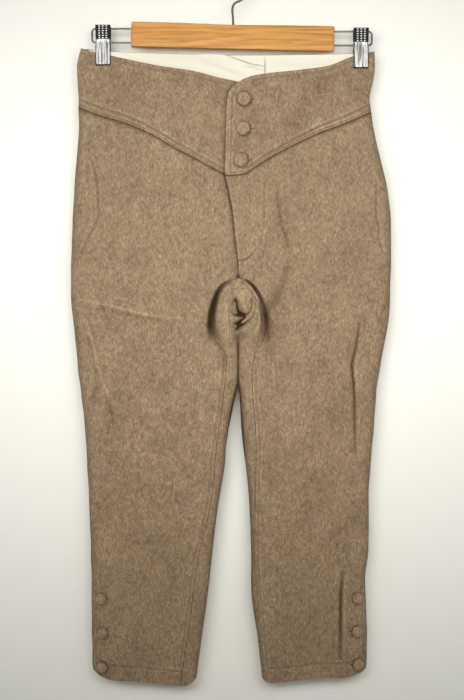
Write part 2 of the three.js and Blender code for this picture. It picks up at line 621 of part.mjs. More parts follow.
function buttons() {
  WAIST_BUTTONS.forEach(({ x, z }, i) => button(`button_waist_${i + 1}`, 'left', x, z, WAIST_BUTTON, OVERLAP_RAISE));
  for (const side of SIDES) {
    CUFF_BUTTONS[side].forEach(({ x, z }, i) => button(`button_cuff_${side}_${i + 1}`, side, x, z, CUFF_BUTTON, 0));
  }
}

// A round wire along a path.
function wire(path, diameter, steps, sides = 8) {
  const section = new THREE.Shape();
  for (let i = 0; i < sides; i += 1) {
    const turn = (2 * Math.PI * i) / sides;
    const [x, y] = [(diameter / 2) * Math.cos(turn), (diameter / 2) * Math.sin(turn)];
    if (i === 0) section.moveTo(x, y);
    else section.lineTo(x, y);
  }
  return closed(new THREE.ExtrudeGeometry(section, { steps, bevelEnabled: false, extrudePath: path }));
}

function hangerBar() {
  const { length, height, thickness, bevel } = BAR;
  const shape = new THREE.Shape();
  const [halfLength, halfHeight] = [length / 2 - bevel, height / 2 - bevel];
  shape.moveTo(-halfLength, -halfHeight);
  shape.lineTo(halfLength, -halfHeight);
  shape.lineTo(halfLength, halfHeight);
  shape.lineTo(-halfLength, halfHeight);
  const settings = { depth: thickness - 2 * bevel, bevelThickness: bevel, bevelSize: bevel, bevelSegments: 2, steps: 1 };
  const geometry = new THREE.ExtrudeGeometry(shape, settings);
  geometry.translate(0, 0, bevel - thickness / 2);
  geometry.rotateX(Math.PI / 2);
  const mesh = add('hanger_bar', closed(geometry), 'wood');
  mesh.rotation.y = radians(BAR.tiltDegrees);
  mesh.position.set(BAR.centreX, 0, BAR.centreZ);
}

function barEdge(x, up) {
  const tilt = radians(BAR.tiltDegrees);
  return BAR.centreZ - (x - BAR.centreX) * Math.tan(tilt) + (up * BAR.height) / 2 / Math.cos(tilt);
}

// The hook: a straight shank out of the bar, a small kink, then most of a circle with its
// inside top at the origin.
function hangerHook() {
  const circle = new THREE.Vector3(0, 0, HOOK_WIRE / 2 - HOOK_RADIUS);
  const onCircle = (degrees) => new THREE.Vector3(
    circle.x + HOOK_RADIUS * Math.cos(radians(degrees)),
    0,
    circle.z + HOOK_RADIUS * Math.sin(radians(degrees)),
  );
  const shank = [
    new THREE.Vector3(0, 0, barEdge(0, 1) + GAP),
    new THREE.Vector3(-0.6, 0, -68),
    new THREE.Vector3(-1.2, 0, -58),
    new THREE.Vector3(2, 0, -50.5),
  ];
  const turns = [-66, -45, -20, 5, 30, 55, 80, 105, 130, 155, 180, 200];
  const path = new THREE.CatmullRomCurve3([...shank, ...turns.map(onCircle)]);
  add('hanger_hook', wire(path, HOOK_WIRE, 34), 'chrome');
}

// Each rail is one wire: out of the bar's end, round past the clip and back.
function railHeight(side) {
  return CLIP_TOP_Z[side] - RAIL_BELOW_CLIP_TOP;
}

function hangerRail(side) {
  const out = outward[side];
  const barEnd = BAR.centreX + out * (BAR.length / 2 + 2 * GAP);
  const tip = CLIP_X[side] + out * RAIL_END_PAST_CLIP;
  const [top, bottom] = [railHeight(side), railHeight(side) - RAIL_SPACING];
  const corner = 5;
  const path = new THREE.CurvePath();
  const at = (x, z) => new THREE.Vector3(x, 0, z);
  path.add(new THREE.LineCurve3(at(barEnd, top), at(tip - out * corner, top)));
  path.add(new THREE.QuadraticBezierCurve3(at(tip - out * corner, top), at(tip, top), at(tip, top - corner)));
  path.add(new THREE.LineCurve3(at(tip, top - corner), at(tip, bottom + corner)));
  path.add(new THREE.QuadraticBezierCurve3(at(tip, bottom + corner), at(tip, bottom), at(tip - out * corner, bottom)));
  path.add(new THREE.LineCurve3(at(tip - out * corner, bottom), at(barEnd, bottom)));
  add(`hanger_rail_${side}`, wire(path, RAIL_DIAMETER, 30), 'chrome');
}

// A clip's pressed plate: a shallow channel that bites at the bottom and leans out at the top.
const PLATE_PROFILE = [
  { down: 0, off: 7.6 }, { down: 19, off: 4.6 }, { down: 24, off: 3.8 }, { down: 38, off: 3.8 },
  { down: 46, off: 0.8 }, { down: CLIP_HEIGHT, off: 0.8 },
];
const PLATE_COLUMNS = [
  { across: -1, inward: 1 }, { across: -1, inward: 0 }, { across: -0.78, inward: 0 }, { across: -0.56, inward: 0 },
  { across: -0.33, inward: 0 }, { across: -0.11, inward: 0 }, { across: 0.11, inward: 0 },
  { across: 0.33, inward: 0 }, { across: 0.56, inward: 0 }, { across: 0.78, inward: 0 }, { across: 1, inward: 0 },
  { across: 1, inward: 1 },
];
const LIP = { depth: 1.6, downTo: 19, rest: 0.2 };
const TOOTH = 2.2;

// How far the inside of a clip's plate lies from the middle plane at a depth below the clip's top.
function plateOffset(side, face, down) {
  const cloth = halfDepth(face, CLIP_X[side], CLIP_BITE_Z) + HALF_GAP;
  const rows = PLATE_PROFILE;
  let i = 0;
  while (i + 2 < rows.length && down > rows[i + 1].down) i += 1;
  const t = clamp01((down - rows[i].down) / (rows[i + 1].down - rows[i].down));
  const raw = (row) => (row.off < 1 ? row.off + cloth : row.off);
  return mix(raw(rows[i]), raw(rows[i + 1]), t);
}

function clipPlate(side, face) {
  const facing = face === 'front' ? -1 : 1;
  const middle = (PLATE_COLUMNS.length - 1) / 2;
  const geometry = layers(PLATE_PROFILE.length, PLATE_COLUMNS.length, 0, CLIP_PLATE, (row, column, inset) => {
    const { across, inward } = PLATE_COLUMNS[column];
    const { down } = PLATE_PROFILE[row];
    const lipHere = down <= LIP.downTo ? LIP.depth : LIP.rest;
    const sideways = across * (CLIP_WIDTH / 2 - (Math.abs(across) === 1 ? inset : 0));
    const isLastRow = row === PLATE_PROFILE.length - 1;
    const tooth = isLastRow && column % 2 === 0 && column > 0 && column < 2 * middle ? TOOTH : 0;
    const away = plateOffset(side, face, down) + CLIP_PLATE - inset - inward * (CLIP_PLATE + lipHere - inset);
    return new THREE.Vector3(CLIP_X[side] + sideways, facing * away, CLIP_TOP_Z[side] - down + tooth);
  });
  add(`clip_plate_${face}_${side}`, geometry, 'chrome');
}

// The knurled grip on each plate's upper third: rows of small pointed studs on a thin pad.
const STUDS_ACROSS = 3;
const STUDS_DOWN = 5;
const PAD = 0.8;
const STUD = 0.9;

function clipGrip(side, face) {
  const facing = face === 'front' ? -1 : 1;
  const columns = STUDS_ACROSS * 2 + 1;
  const rows = STUDS_DOWN * 2 + 1;
  const point = (row, column, inset) => {
    const x = CLIP_X[side] + ((column / (columns - 1)) * 2 - 1) * (CLIP_WIDTH / 2 - 0.6);
    const down = 0.6 + (row / (rows - 1)) * (GRIP_HEIGHT - 0.6);
    const stud = row % 2 === 1 && column % 2 === 1 ? STUD : 0;
    const seat = plateOffset(side, face, down) + CLIP_PLATE + GAP;
    return new THREE.Vector3(x, facing * (seat + (inset > 0 ? 0 : PAD + stud)), CLIP_TOP_Z[side] - down);
  };
  add(`clip_grip_${face}_${side}`, layers(rows, columns, 0, PAD, point), 'grip');
}

// The spring between the plates turns round the lower rail.
function clipSpring(side) {
  const [inside, outside, length] = [RAIL_DIAMETER / 2 + GAP, 3.4, 13];
  const coils = 3;
  const profile = [new THREE.Vector2(inside, -length / 2)];
  for (let i = 0; i <= coils * 2; i += 1) {
    profile.push(new THREE.Vector2(i % 2 ? outside : outside - 0.7, mix(-length / 2, length / 2, i / (coils * 2))));
  }
  profile.push(new THREE.Vector2(inside, length / 2), new THREE.Vector2(inside, -length / 2));
  const mesh = add(`clip_spring_${side}`, closed(new THREE.LatheGeometry(profile, 10)), 'chrome');
  mesh.rotation.z = Math.PI / 2;
  mesh.position.set(CLIP_X[side], 0, railHeight(side) - RAIL_SPACING);
}

for (const side of SIDES) {
  frontPiece(side);
  backPiece(side);
  yokePiece(side);
  facingPiece(side);
  hangerRail(side);
  clipSpring(side);
  for (const face of ['front', 'back']) {
    clipPlate(side, face);
    clipGrip(side, face);
  }
}
buttons();
hangerBar();
hangerHook();

export default group;
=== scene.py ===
import math

import bpy
import numpy as np
from bpy.props import FloatProperty, FloatVectorProperty, PointerProperty
from mathutils import Matrix, Vector
from mathutils.bvhtree import BVHTree


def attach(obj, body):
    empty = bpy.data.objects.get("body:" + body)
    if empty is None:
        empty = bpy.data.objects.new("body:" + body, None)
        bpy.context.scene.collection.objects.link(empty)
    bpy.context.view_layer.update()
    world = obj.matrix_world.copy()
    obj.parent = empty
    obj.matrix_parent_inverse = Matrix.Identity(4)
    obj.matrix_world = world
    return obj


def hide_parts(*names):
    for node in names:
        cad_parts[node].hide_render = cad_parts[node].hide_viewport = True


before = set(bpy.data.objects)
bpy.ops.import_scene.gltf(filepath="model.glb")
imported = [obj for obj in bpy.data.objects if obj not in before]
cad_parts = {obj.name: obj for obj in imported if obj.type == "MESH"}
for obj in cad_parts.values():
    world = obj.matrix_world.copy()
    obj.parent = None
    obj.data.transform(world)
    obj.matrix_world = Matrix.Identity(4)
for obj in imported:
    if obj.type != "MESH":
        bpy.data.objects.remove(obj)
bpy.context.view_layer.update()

bl_info = {
    "name": "Hung wool trousers",
    "version": (1, 0, 0),
    "blender": (4, 5, 0),
    "location": "3D View > Sidebar > Trousers",
    "description": "Builds high-waisted wool trousers on a clip hanger, over their packed solids",
    "category": "Add Mesh",
}

# The tables are in millimetres, as a cutter works, and MM turns them into metres.
MM = 0.001
FRONT, BACK = -1, 1
SIDES = ("right", "left")
OUTWARD = {"right": -1, "left": 1}
FLAT, OUTER, INNER = 0, 1, 2

HALF_GAP = 0.15
SEAM_GAP = 0.06
FORK_Z = -433.5
FORK_CURVE_HEIGHT = 24
FACING_DEPTH = 72
FACING_WALL = 1.0
FLY_END_Z = -411
FLY_UNDERLAP = 18
YOKE_UNDERLAP = 32
OVERLAP_RAISE = 1.3
UNDERLAP_RECESS = 2.0
SLIT_TOP_Z = -851
SLIT_UNDERLAP_ANGLE = -60
SLIT_RECESS = 2.5
WAIST_BEND_ENDS_Z = -232
CLIP_BITE_Z = -130
HEM_REFERENCE_Z = -1000
FRONT_TOP_Z = -293
BACK_TOP_Z = -120
FRONT_ROW_STEP, BACK_ROW_STEP = 3.6, 4.2
FORK_ROWS = np.union1d(np.arange(-424, -532, -1.8), np.arange(-434, -452, -0.9))
STITCH_ROWS = np.union1d(np.arange(-396, -424, -1.8), np.arange(-966, -988, -1.8))

# Rows of height and place across: the garment's edges.
OUTER_EDGE = {
    "right": [
        (-112, -213), (-138, -218.7), (-166, -217.3), (-228, -216), (-264, -218.7), (-320, -223),
        (-404, -226.4), (-460, -227), (-516, -221.5), (-572, -216), (-628, -209), (-712, -203.3),
        (-824, -199), (-964, -197), (-1005, -194.5),
    ],
    "left": [
        (-112, 197.5), (-138, 198.5), (-152, 197), (-180, 191.5), (-196, 192), (-236, 198.5),
        (-278, 208.3), (-320, 217.5), (-376, 221), (-488, 218), (-530, 211), (-586, 201.3),
        (-642, 197), (-726, 190), (-810, 189.4), (-852, 185), (-894, 186), (-950, 187.3),
        (-1005, 184),
    ],
}
INNER_EDGE = {
    "right": [
        (-112, 6.9), (-434, 6.9), (-518, 6.9), (-584, 6.5), (-600, 3.2), (-628, -3), (-670, -10),
        (-698, -12), (-754, -21.3), (-810, -28.3), (-880, -36), (-936, -43.7), (-1005, -53),
    ],
    "left": [
        (-112, 6.9), (-434, 6.9), (-518, 6.9), (-584, 7.0), (-600, 8.8), (-656, 12.3), (-726, 20.7),
        (-810, 24.9), (-880, 25.8), (-936, 34), (-1005, 41.5),
    ],
}
INSEAM = {
    "right": [
        (-433.5, 6.6), (-447, -15.7), (-472, -26.9), (-500, -31), (-519, -26.9), (-532, -17.5),
        (-546, -9.6), (-615, -15.7), (-670, -23.5), (-746, -31), (-830, -50), (-886, -57),
        (-1005, -74),
    ],
    "left": [
        (-433.5, 7.2), (-442, 23), (-459, 36), (-477, 41.7), (-501, 45.9), (-522, 41.7), (-537, 32),
        (-572, 26.3), (-662, 31.9), (-725, 31), (-774, 30.5), (-844, 31), (-1005, 46),
    ],
}
YOKE_OVERLAP = [
    (-159, 13.2), (-166, 2.5), (-175.5, -5.6), (-186, -8.3), (-200, -9.5), (-254, -10.8), (-293, -11.8),
]
FLY_EDGE = [(-292, -11.6), (-316, -5.9), (-344, -0.7), (-379, 2.8), (-410, 6.6), (-433.5, 6.9)]

# Rows of place across and height: the edges that run across.
WAIST_TOP = {
    "right": [
        (-219, -112.6), (-170, -124), (-108, -138), (-53.5, -147.3), (-21, -156.3), (0, -160.5), (30, -167),
    ],
    "left": [
        (13.2, -159), (26.3, -154), (48, -150), (93.5, -144.7), (134, -138), (161, -127),
        (180, -121.3), (199, -117.9),
    ],
}
YOKE_SEAM = {
    "right": [
        (-219, -196), (-189, -208), (-146, -221.4), (-112, -236.7), (-81.5, -254.3), (-56, -267.5),
        (-27, -283.3), (-10, -291), (24, -297),
    ],
    "left": [
        (-12, -292.3), (2, -292.6), (17.9, -289.5), (28, -283), (55.7, -265.5), (86.5, -249.4),
        (118, -234.7), (155, -220.7), (199, -201),
    ],
}
BACK_TOP = [(-219, -112.6), (-170, -117), (-60, -120), (60, -121), (170, -120), (199, -117.9)]
HEM = {
    "right": [
        (-198, -980), (-193, -984), (-184, -991), (-168, -996.5), (-137, -998.5), (-107, -1001),
        (-68, -1004.3), (-57, -999.5), (-50, -992),
    ],
    "left": [
        (40, -994), (46, -999), (56, -1000.5), (86.5, -997.4), (124, -993.5), (156, -993),
        (175, -987), (186, -980),
    ],
}

# Height, then the flat tube's half depth in front and behind, then how far each edge takes to round off.
DEPTHS = [
    (-112, 7, 6, 5, 8), (-180, 12, 10, 8, 8), (-250, 14, 14, 12, 9), (-340, 16, 19, 15, 9),
    (-433, 16.5, 19, 16, 10), (-520, 15, 16, 15, 11), (-640, 13.5, 13.5, 13, 11),
    (-760, 12.5, 12.5, 12, 11), (-880, 11, 11, 10, 10), (-1005, 10, 10, 9, 9),
]
PINCH = {FRONT: 2.7, BACK: 3.3}
PINCH_BOW = {FRONT: 11.5, BACK: 5.5}
PINCH_FLAT = 13
PINCH_FULL_Z = -145
PINCH_GONE_Z = -222

# Each fold: the points of its line, how deep it lies (minus for a ridge), and its half width.
FRONT_FOLDS = [
    ([(61, -306), (70, -361), (81, -409), (80, -430)], 3.2, 13),
    ([(80, -428), (71, -452), (57, -480), (54, -512), (58, -530)], 5.5, 13),
    ([(122, -158), (101, -191), (93, -218), (75, -236)], 2.4, 13),
    ([(175, -491), (173, -522), (166, -560), (169, -614), (170, -676)], 2.6, 11),
    ([(179, -746), (174, -763), (167, -781)], 1.8, 11),
    ([(44, -774), (60, -777), (80, -782)], 1.8, 9),
    ([(-226, -461), (-186, -471), (-158, -480), (-117, -488), (-60, -500)], -2.2, 12),
    ([(-214, -480), (-199, -519), (-190, -557), (-175, -593), (-170, -630)], 2.6, 12),
    ([(-164, -800), (-120, -804), (-84, -801)], 1.6, 14),
    ([(-120, -330), (-112, -400), (-98, -470)], -1.8, 30),
    ([(140, -330), (136, -420), (128, -520)], -1.8, 28),
]
BACK_FOLDS = [
    ([(-20, -330), (-58, -380), (-84, -420), (-96, -452)], 4.0, 15),
    ([(34, -322), (70, -384), (92, -424), (112, -458)], 3.6, 15),
    ([(-26, -452), (-66, -470), (-118, -482)], 3.2, 13),
    ([(30, -456), (78, -470), (136, -474)], 3.4, 13),
    ([(-176, -560), (-130, -590), (-88, -606)], 2.4, 15),
    ([(160, -600), (118, -622), (78, -630)], 2.2, 14),
    ([(-150, -792), (-110, -798), (-70, -790)], 1.6, 14),
    ([(60, -776), (104, -784), (150, -776)], 1.7, 13),
    ([(-110, -180), (-104, -250), (-112, -320)], -1.8, 24),
    ([(112, -176), (104, -246), (108, -318)], -1.8, 24),
]

# Lines that a crease and its shade share.
CUFF_LAP = [(153, -845), (150, -875), (149.5, -921), (149, -966)]
INNER_KNEE = [(40, -777), (60, -781), (80, -775)]
OUTER_KNEE = [(179, -746), (175, -763), (167, -781)]
WAIST_TUCK = [(-206, -178), (-196, -174), (-186, -182)]

# Finer creases, sharper than the folds that they lie in.
FRONT_CREASES = [
    ([(61, -306), (66, -333), (70, -361), (78, -389), (81, -412), (79, -431)], 1.1, 4.5),
    ([(81, -425), (71, -452), (61, -466)], 1.4, 6),
    ([(61, -463), (54, -483), (51, -508), (54, -529)], 2.0, 6.5),
    ([(175, -491), (173, -522), (166, -550), (166, -575), (169, -614), (170, -676)], 1.4, 3.2),
    (OUTER_KNEE, 1.0, 3.2),
    ([(215, -471), (205, -491)], 1.0, 3.4),
    ([(-226, -466), (-187, -476), (-159, -485), (-117, -493)], 1.2, 4),
    ([(-215, -480), (-202, -497), (-198, -519), (-190, -557), (-183, -579), (-175, -599)], 1.2, 3.4),
    ([(-175, -599), (-170, -621), (-164, -662)], 0.7, 5),
    (INNER_KNEE, 0.9, 4),
    ([(38, -796), (57, -800), (80, -795)], 0.7, 4),
    ([(-210, -172), (-202, -163), (-194, -169)], -1.0, 3.4),
    (WAIST_TUCK, 0.7, 4),
    (CUFF_LAP, 2.2, 2.6),
    ([(158, -846), (155.5, -875), (154.5, -921), (154, -966)], -0.9, 3.4),
    ([(-4, -330), (-22, -352), (-48, -362)], 0.6, 7),
    ([(26, -428), (52, -436), (74, -433)], 0.7, 6),
    ([(-40, -440), (-70, -452), (-98, -452)], 0.6, 7),
    ([(96, -300), (112, -330), (118, -368)], 0.6, 8),
    ([(186, -560), (176, -590), (174, -640)], -0.7, 6),
    ([(-150, -640), (-130, -690), (-128, -740)], 0.6, 9),
    ([(110, -640), (118, -700), (112, -760)], 0.6, 9),
    ([(-120, -860), (-104, -900), (-110, -950)], 0.5, 9),
    ([(90, -860), (100, -910), (92, -960)], 0.5, 9),
]
BACK_CREASES = [
    ([(-20, -334), (-56, -382), (-82, -422)], 1.4, 5),
    ([(36, -326), (70, -386), (92, -426), (106, -452)], 1.3, 5),
    ([(-30, -455), (-66, -473), (-112, -484)], 1.3, 4.5),
    ([(36, -459), (78, -473), (128, -478)], 1.3, 4.5),
    ([(-170, -564), (-130, -593), (-94, -606)], 1.0, 4.5),
    ([(154, -604), (118, -625), (84, -631)], 0.9, 4.5),
    ([(-150, -500), (-132, -540), (-136, -590)], 0.6, 8),
    ([(150, -500), (140, -550), (146, -600)], 0.6, 8),
    ([(-140, -690), (-128, -740), (-134, -790)], 0.6, 8),
    ([(120, -680), (112, -730), (118, -780)], 0.6, 8),
]

# The deep folds that frame the inner thighs under the fork.
# Height, depth, half width of the floor, and how far the thigh's side slants, all along the inseam.
CRESCENTS = {
    "right": [
        (-437, 0, 0.4, 1.6), (-445, 8, 0.8, 1.9), (-458, 12, 1.3, 2.4), (-480, 12.5, 1.7, 3.0),
        (-500, 12, 1.6, 3.6), (-512, 8, 1.4, 5), (-524, 2.5, 1.2, 8), (-538, 0, 1, 9),
    ],
    "left": [
        (-436, 0, 0.3, 1.2), (-442, 8, 0.5, 1.3), (-450, 11, 0.6, 1.5), (-466, 9.5, 0.8, 2.2),
        (-476, 7.5, 1.3, 4), (-498, 5.2, 2.4, 7), (-515, 3.6, 2.6, 9), (-530, 1.5, 2.0, 9), (-545, 0, 1, 9),
    ],
}
CRESCENT_STEEPNESS = 0.75
CRESCENT_SHADE = {"right": 8.8, "left": 9.5}
HOLLOW_TOP_Z, HOLLOW_BOTTOM_Z = -442, -520
HOLLOW_SHIFT = {"right": -8.5, "left": 25.5}

# The seat's cloth between the thighs: its dark folds, then its light ones, as folds are given.
SEAT_FOLD_GROOVES = [
    ([(3.0, -464), (2.8, -470), (2.4, -484)], 6.5, 3.2),
    ([(1.6, -474), (3.0, -480), (9, -484)], 6.0, 5.0),
    ([(1.0, -481), (7, -485.5), (23, -488.5)], 6.5, 3.0),
    ([(-3, -506), (3, -503.5), (10, -498.5), (18, -493)], 8.0, 5.0),
    ([(12, -497), (20, -491), (26, -483), (29, -472), (28.5, -463)], 7.0, 2.5),
]
SEAT_FOLD_SWELLS = [
    ([(15, -460), (17, -474)], -3.0, 8.0),
    ([(5, -494), (16, -490.5)], -2.4, 2.6),
    ([(-4, -449), (10, -446), (24, -451)], -0.8, 3.0),
]
SEAT_FOLD_SEAM = [([(7.4, -424), (7.6, -435)], 1.1, 1.2)]


def mix(a, b, t):
    return a + (b - a) * t


def clamp01(t):
    return np.clip(t, 0.0, 1.0)


def smooth(t):
    t = clamp01(t)
    return t * t * (3 - 2 * t)


def bell(value, width):
    """1 where the value is nought, falling away smoothly over about a width to each side."""
    return np.exp(-((value / width) ** 2))


class SmoothLine:
    """A smooth value from rows of key and value, held level past both ends."""

    def __init__(self, rows):
        self.keys, self.values = np.array(sorted(rows), dtype=float).T
        count = len(self.keys)
        before = np.maximum(np.arange(count) - 1, 0)
        after = np.minimum(np.arange(count) + 1, count - 1)
        rise = self.values[after] - self.values[before]
        self.slopes = rise / (self.keys[after] - self.keys[before])

    def __call__(self, at):
        at = np.clip(at, self.keys[0], self.keys[-1])
        i = np.clip(np.searchsorted(self.keys, at, side="right") - 1, 0, len(self.keys) - 2)
        span = self.keys[i + 1] - self.keys[i]
        t = (at - self.keys[i]) / span
        start = self.values[i] * (1 + 2 * t) * (1 - t) ** 2 + self.slopes[i] * span * t * (1 - t) ** 2
        end = self.values[i + 1] * t * t * (3 - 2 * t) - self.slopes[i + 1] * span * t * t * (1 - t)
        return start + end


def lines_of(rows):
    """A smooth line for each column of a table after its first, which holds the key."""
    return [SmoothLine([(row[0], row[i]) for row in rows]) for i in range(1, len(rows[0]))]


OUTER_AT, INNER_AT, INSEAM_AT, WAIST_AT, YOKE_SEAM_AT, HEM_AT = (
    {side: SmoothLine(edge[side]) for side in SIDES}
    for edge in (OUTER_EDGE, INNER_EDGE, INSEAM, WAIST_TOP, YOKE_SEAM, HEM)
)
BACK_TOP_AT, OVERLAP_AT, FLY_AT = (SmoothLine(edge) for edge in (BACK_TOP, YOKE_OVERLAP, FLY_EDGE))
FRONT_DEPTH_AT, BACK_DEPTH_AT, OUTER_ROUND_AT, INNER_ROUND_AT = lines_of(DEPTHS)
HALF_DEPTH_AT = {FRONT: FRONT_DEPTH_AT, BACK: BACK_DEPTH_AT}
CRESCENT_AT = {side: lines_of(CRESCENTS[side]) for side in SIDES}


# Sewn lines. Each is a list of points, found from the edges that it follows.
def across_line(first, last, step, height_at):
    """A line that runs across, at a height for each place."""
    xs = np.linspace(first, last, max(2, int(abs(last - first) / step)))
    return np.column_stack([xs, height_at(xs)])


def down_line(top, bottom, step, place_at):
    """A line that runs down, at a place for each height."""
    zs = np.linspace(top, bottom, max(2, int(abs(top - bottom) / step)))
    return np.column_stack([place_at(zs), zs])


WAIST_STITCH_DROP = 6.5
OVERLAP_STITCH_IN = 7.0
SLIT_STITCH_IN = 6.5
INSEAM_RIDGE_OUT = 4.5
HEM_STITCH_UP = 21
HEM_STITCH_ENDS = {"right": (-191, -58), "left": (47, 179)}
LINE_STEP = 8
INSEAM_LINE_STEP = 12


def yoke_stitch_up(x):
    """How far the yoke's topstitching lies over its seam: more towards the side seams."""
    return 6.5 + 4.0 * np.abs(x) / 136


J_STITCH = [
    (7, -411), (13, -411.4), (21.4, -408), (28, -400.3), (34.2, -392), (39.8, -378), (42.6, -350),
    (43.5, -299),
]
POCKET_STITCH = {
    "right": [
        (-197, -272), (-192, -289.3), (-188.6, -310.3), (-186.5, -350.9), (-196.3, -370.5),
        (-207.5, -392.9), (-213.1, -408.3),
    ],
    "left": [
        (199, -300), (198, -330), (198.5, -352), (203.4, -366.3), (200.5, -379), (204.1, -388.7), (209, -402),
    ],
}
TACKS = [
    [(-210.3, -251.5), (-201.9, -257.1)], [(-223.5, -409.0), (-211.7, -409.0)],
    [(208.3, -406.9), (214.6, -402.1)], [(-195, -845), (-184.4, -852.1)],
    [(-176.7, -852.1), (-168.3, -860.5)], [(163.5, -853.5), (180.5, -849.6)],
]
OVERLAP_BOX = [(-9.8, -256), (-2.5, -256), (-2.2, -289), (-10.2, -289)]
WAIST_BUTTONS = [(15, -186), (14.1, -227.3), (10.5, -271.5)]
CUFF_BUTTONS = {
    "right": [(-184.4, -883), (-182.6, -931), (-183.6, -978.5)],
    "left": [(173.5, -882), (173, -928.7), (174.5, -974.5)],
}
WAIST_BUTTON, WAIST_BUTTONHOLE = 19, 14.5
CUFF_BUTTON, CUFF_BUTTONHOLE = 15, 11.5
WAIST_SEATS = [(x, z, WAIST_BUTTON) for x, z in WAIST_BUTTONS]
CUFF_SEATS = {side: [(x, z, CUFF_BUTTON) for x, z in CUFF_BUTTONS[side]] for side in SIDES}


def sewn_lines():
    """Rows of a line's points, its groove's depth and half width, and the piece that it is sewn on."""

    def waist(side, first, last):
        points = across_line(first, last, LINE_STEP, lambda x: WAIST_AT[side](x) - WAIST_STITCH_DROP)
        return points, 0.9, 1.5, f"yoke_{side}"

    def yoke(side, first, last):
        points = across_line(first, last, LINE_STEP, lambda x: YOKE_SEAM_AT[side](x) + yoke_stitch_up(x))
        return points, 1.2, 1.6, f"yoke_{side}"

    overlap = down_line(-168, -289, LINE_STEP, lambda z: OVERLAP_AT(z) + OVERLAP_STITCH_IN)
    rows = [
        waist("right", -212, -3), waist("left", 22, 194), (overlap, 1.0, 1.4, "yoke_left"),
        yoke("right", -212, -13), yoke("left", 14, 196), (np.array(J_STITCH), 0.9, 1.4, "front_left"),
    ]
    for side in SIDES:
        out = OUTWARD[side]
        hem = across_line(*HEM_STITCH_ENDS[side], LINE_STEP, lambda x: HEM_AT[side](x) + HEM_STITCH_UP)
        slit = down_line(-856, -972, LINE_STEP, lambda z: OUTER_AT[side](z) - out * SLIT_STITCH_IN)
        ridge = down_line(-560, -975, INSEAM_LINE_STEP, lambda z: INSEAM_AT[side](z) + out * INSEAM_RIDGE_OUT)
        rows += [
            (hem, 1.1, 1.6, f"front_{side}"), (np.array(POCKET_STITCH[side]), 1.5, 1.5, f"front_{side}"),
            (slit, 0.6, 1.3, f"front_{side}"), (ridge, 0.7, 1.4, f"front_{side}"),
        ]
    return rows


SEWN = sewn_lines()


def to_line(points, x, z):
    """Distance from each place to a line of points, the share of its steps, and the length along it."""
    points = np.asarray(points, dtype=float)
    best = np.full(x.shape, np.inf)
    share = np.zeros_like(x)
    arc = np.zeros_like(x)
    travelled = 0.0
    steps = len(points) - 1
    for i in range(steps):
        (ax, az), (bx, bz) = points[i], points[i + 1]
        length = math.hypot(bx - ax, bz - az)
        t = clamp01(((x - ax) * (bx - ax) + (z - az) * (bz - az)) / length ** 2)
        distance = np.hypot(x - mix(ax, bx, t), z - mix(az, bz, t))
        nearer = distance < best
        best = np.where(nearer, distance, best)
        share = np.where(nearer, (i + t) / steps, share)
        arc = np.where(nearer, travelled + t * length, arc)
        travelled += length
    return best, share, arc


def along(points, reach, x, z):
    """Which places lie within reach of the box round a line and, for these, what to_line says."""
    points = np.asarray(points, dtype=float)
    low, high = points.min(axis=0) - reach, points.max(axis=0) + reach
    here = (x > low[0]) & (x < high[0]) & (z > low[1]) & (z < high[1])
    return here, *to_line(points, x[here], z[here])


def fold_relief(folds, x, z):
    """How deep the folds lie at each place, fading out at both ends of each."""
    total = np.zeros_like(x)
    for line, depth, width in folds:
        here, distance, share, _ = along(line, 3 * width, x, z)
        ends = np.sqrt(np.maximum(0, np.sin(np.pi * mix(0.06, 0.94, share))))
        total[here] += depth * ends * bell(distance, width)
    return total


TACK_REACH = 8
BUTTONHOLE_REACH = 6
PUCKER_LENGTH = 8.5
PUCKER_DEPTH = 0.3
PUCKER_REACH = 5.5


def sewn_relief(x, z):
    """Grooves under the stitching, with the small puckers that it draws up."""
    total = np.zeros_like(x)
    for count, (points, depth, width, _) in enumerate(SEWN):
        here, distance, _, arc = along(points, 4 * PUCKER_REACH, x, z)
        wave = np.sin(2 * np.pi * arc / PUCKER_LENGTH + 1.7 * count + 0.9 * np.sin(arc / 23))
        pucker = PUCKER_DEPTH * wave * bell(distance, PUCKER_REACH)
        total[here] += depth * bell(distance, width) + pucker
    for points in TACKS:
        here, distance, _, _ = along(points, TACK_REACH, x, z)
        total[here] += 0.7 * bell(distance, 1.5)
    return total


def seam_relief(x, z):
    """The V seam's dip, the ridge of its turned allowance, the button seats and the buttonholes."""
    total = np.zeros_like(x)
    for side in SIDES:
        ours = (x < -11) if side == "right" else (x >= -11)
        above = z - YOKE_SEAM_AT[side](x)
        dip = 1.5 * bell(above, 1.5)
        ridge = -0.8 * bell(above - 3.8, 2.6)
        below = 0.5 * bell(above + 3.5, 2.5)
        total += np.where(ours, dip + ridge + below, 0)
    for x0, z0, size in WAIST_SEATS + CUFF_SEATS["right"] + CUFF_SEATS["left"]:
        away = np.hypot(x - x0, z - z0) / (size / 2)
        total += 1.2 * bell(away - 0.95, 0.28) + 0.6 * bell(away, 0.8)
    for x0, z0, x1 in buttonholes():
        here, distance, _, _ = along([(x0, z0), (x1, z0)], BUTTONHOLE_REACH, x, z)
        total[here] += 1.3 * bell(distance, 0.9) - 0.35 * bell(distance - 1.8, 0.9)
    return total


def buttonholes():
    """Where each buttonhole starts, its height, and where it ends."""
    holes = [(x, z, x + WAIST_BUTTONHOLE) for x, z in WAIST_BUTTONS]
    for side in SIDES:
        holes += [(x, z, x - OUTWARD[side] * CUFF_BUTTONHOLE) for x, z in CUFF_BUTTONS[side]]
    return holes


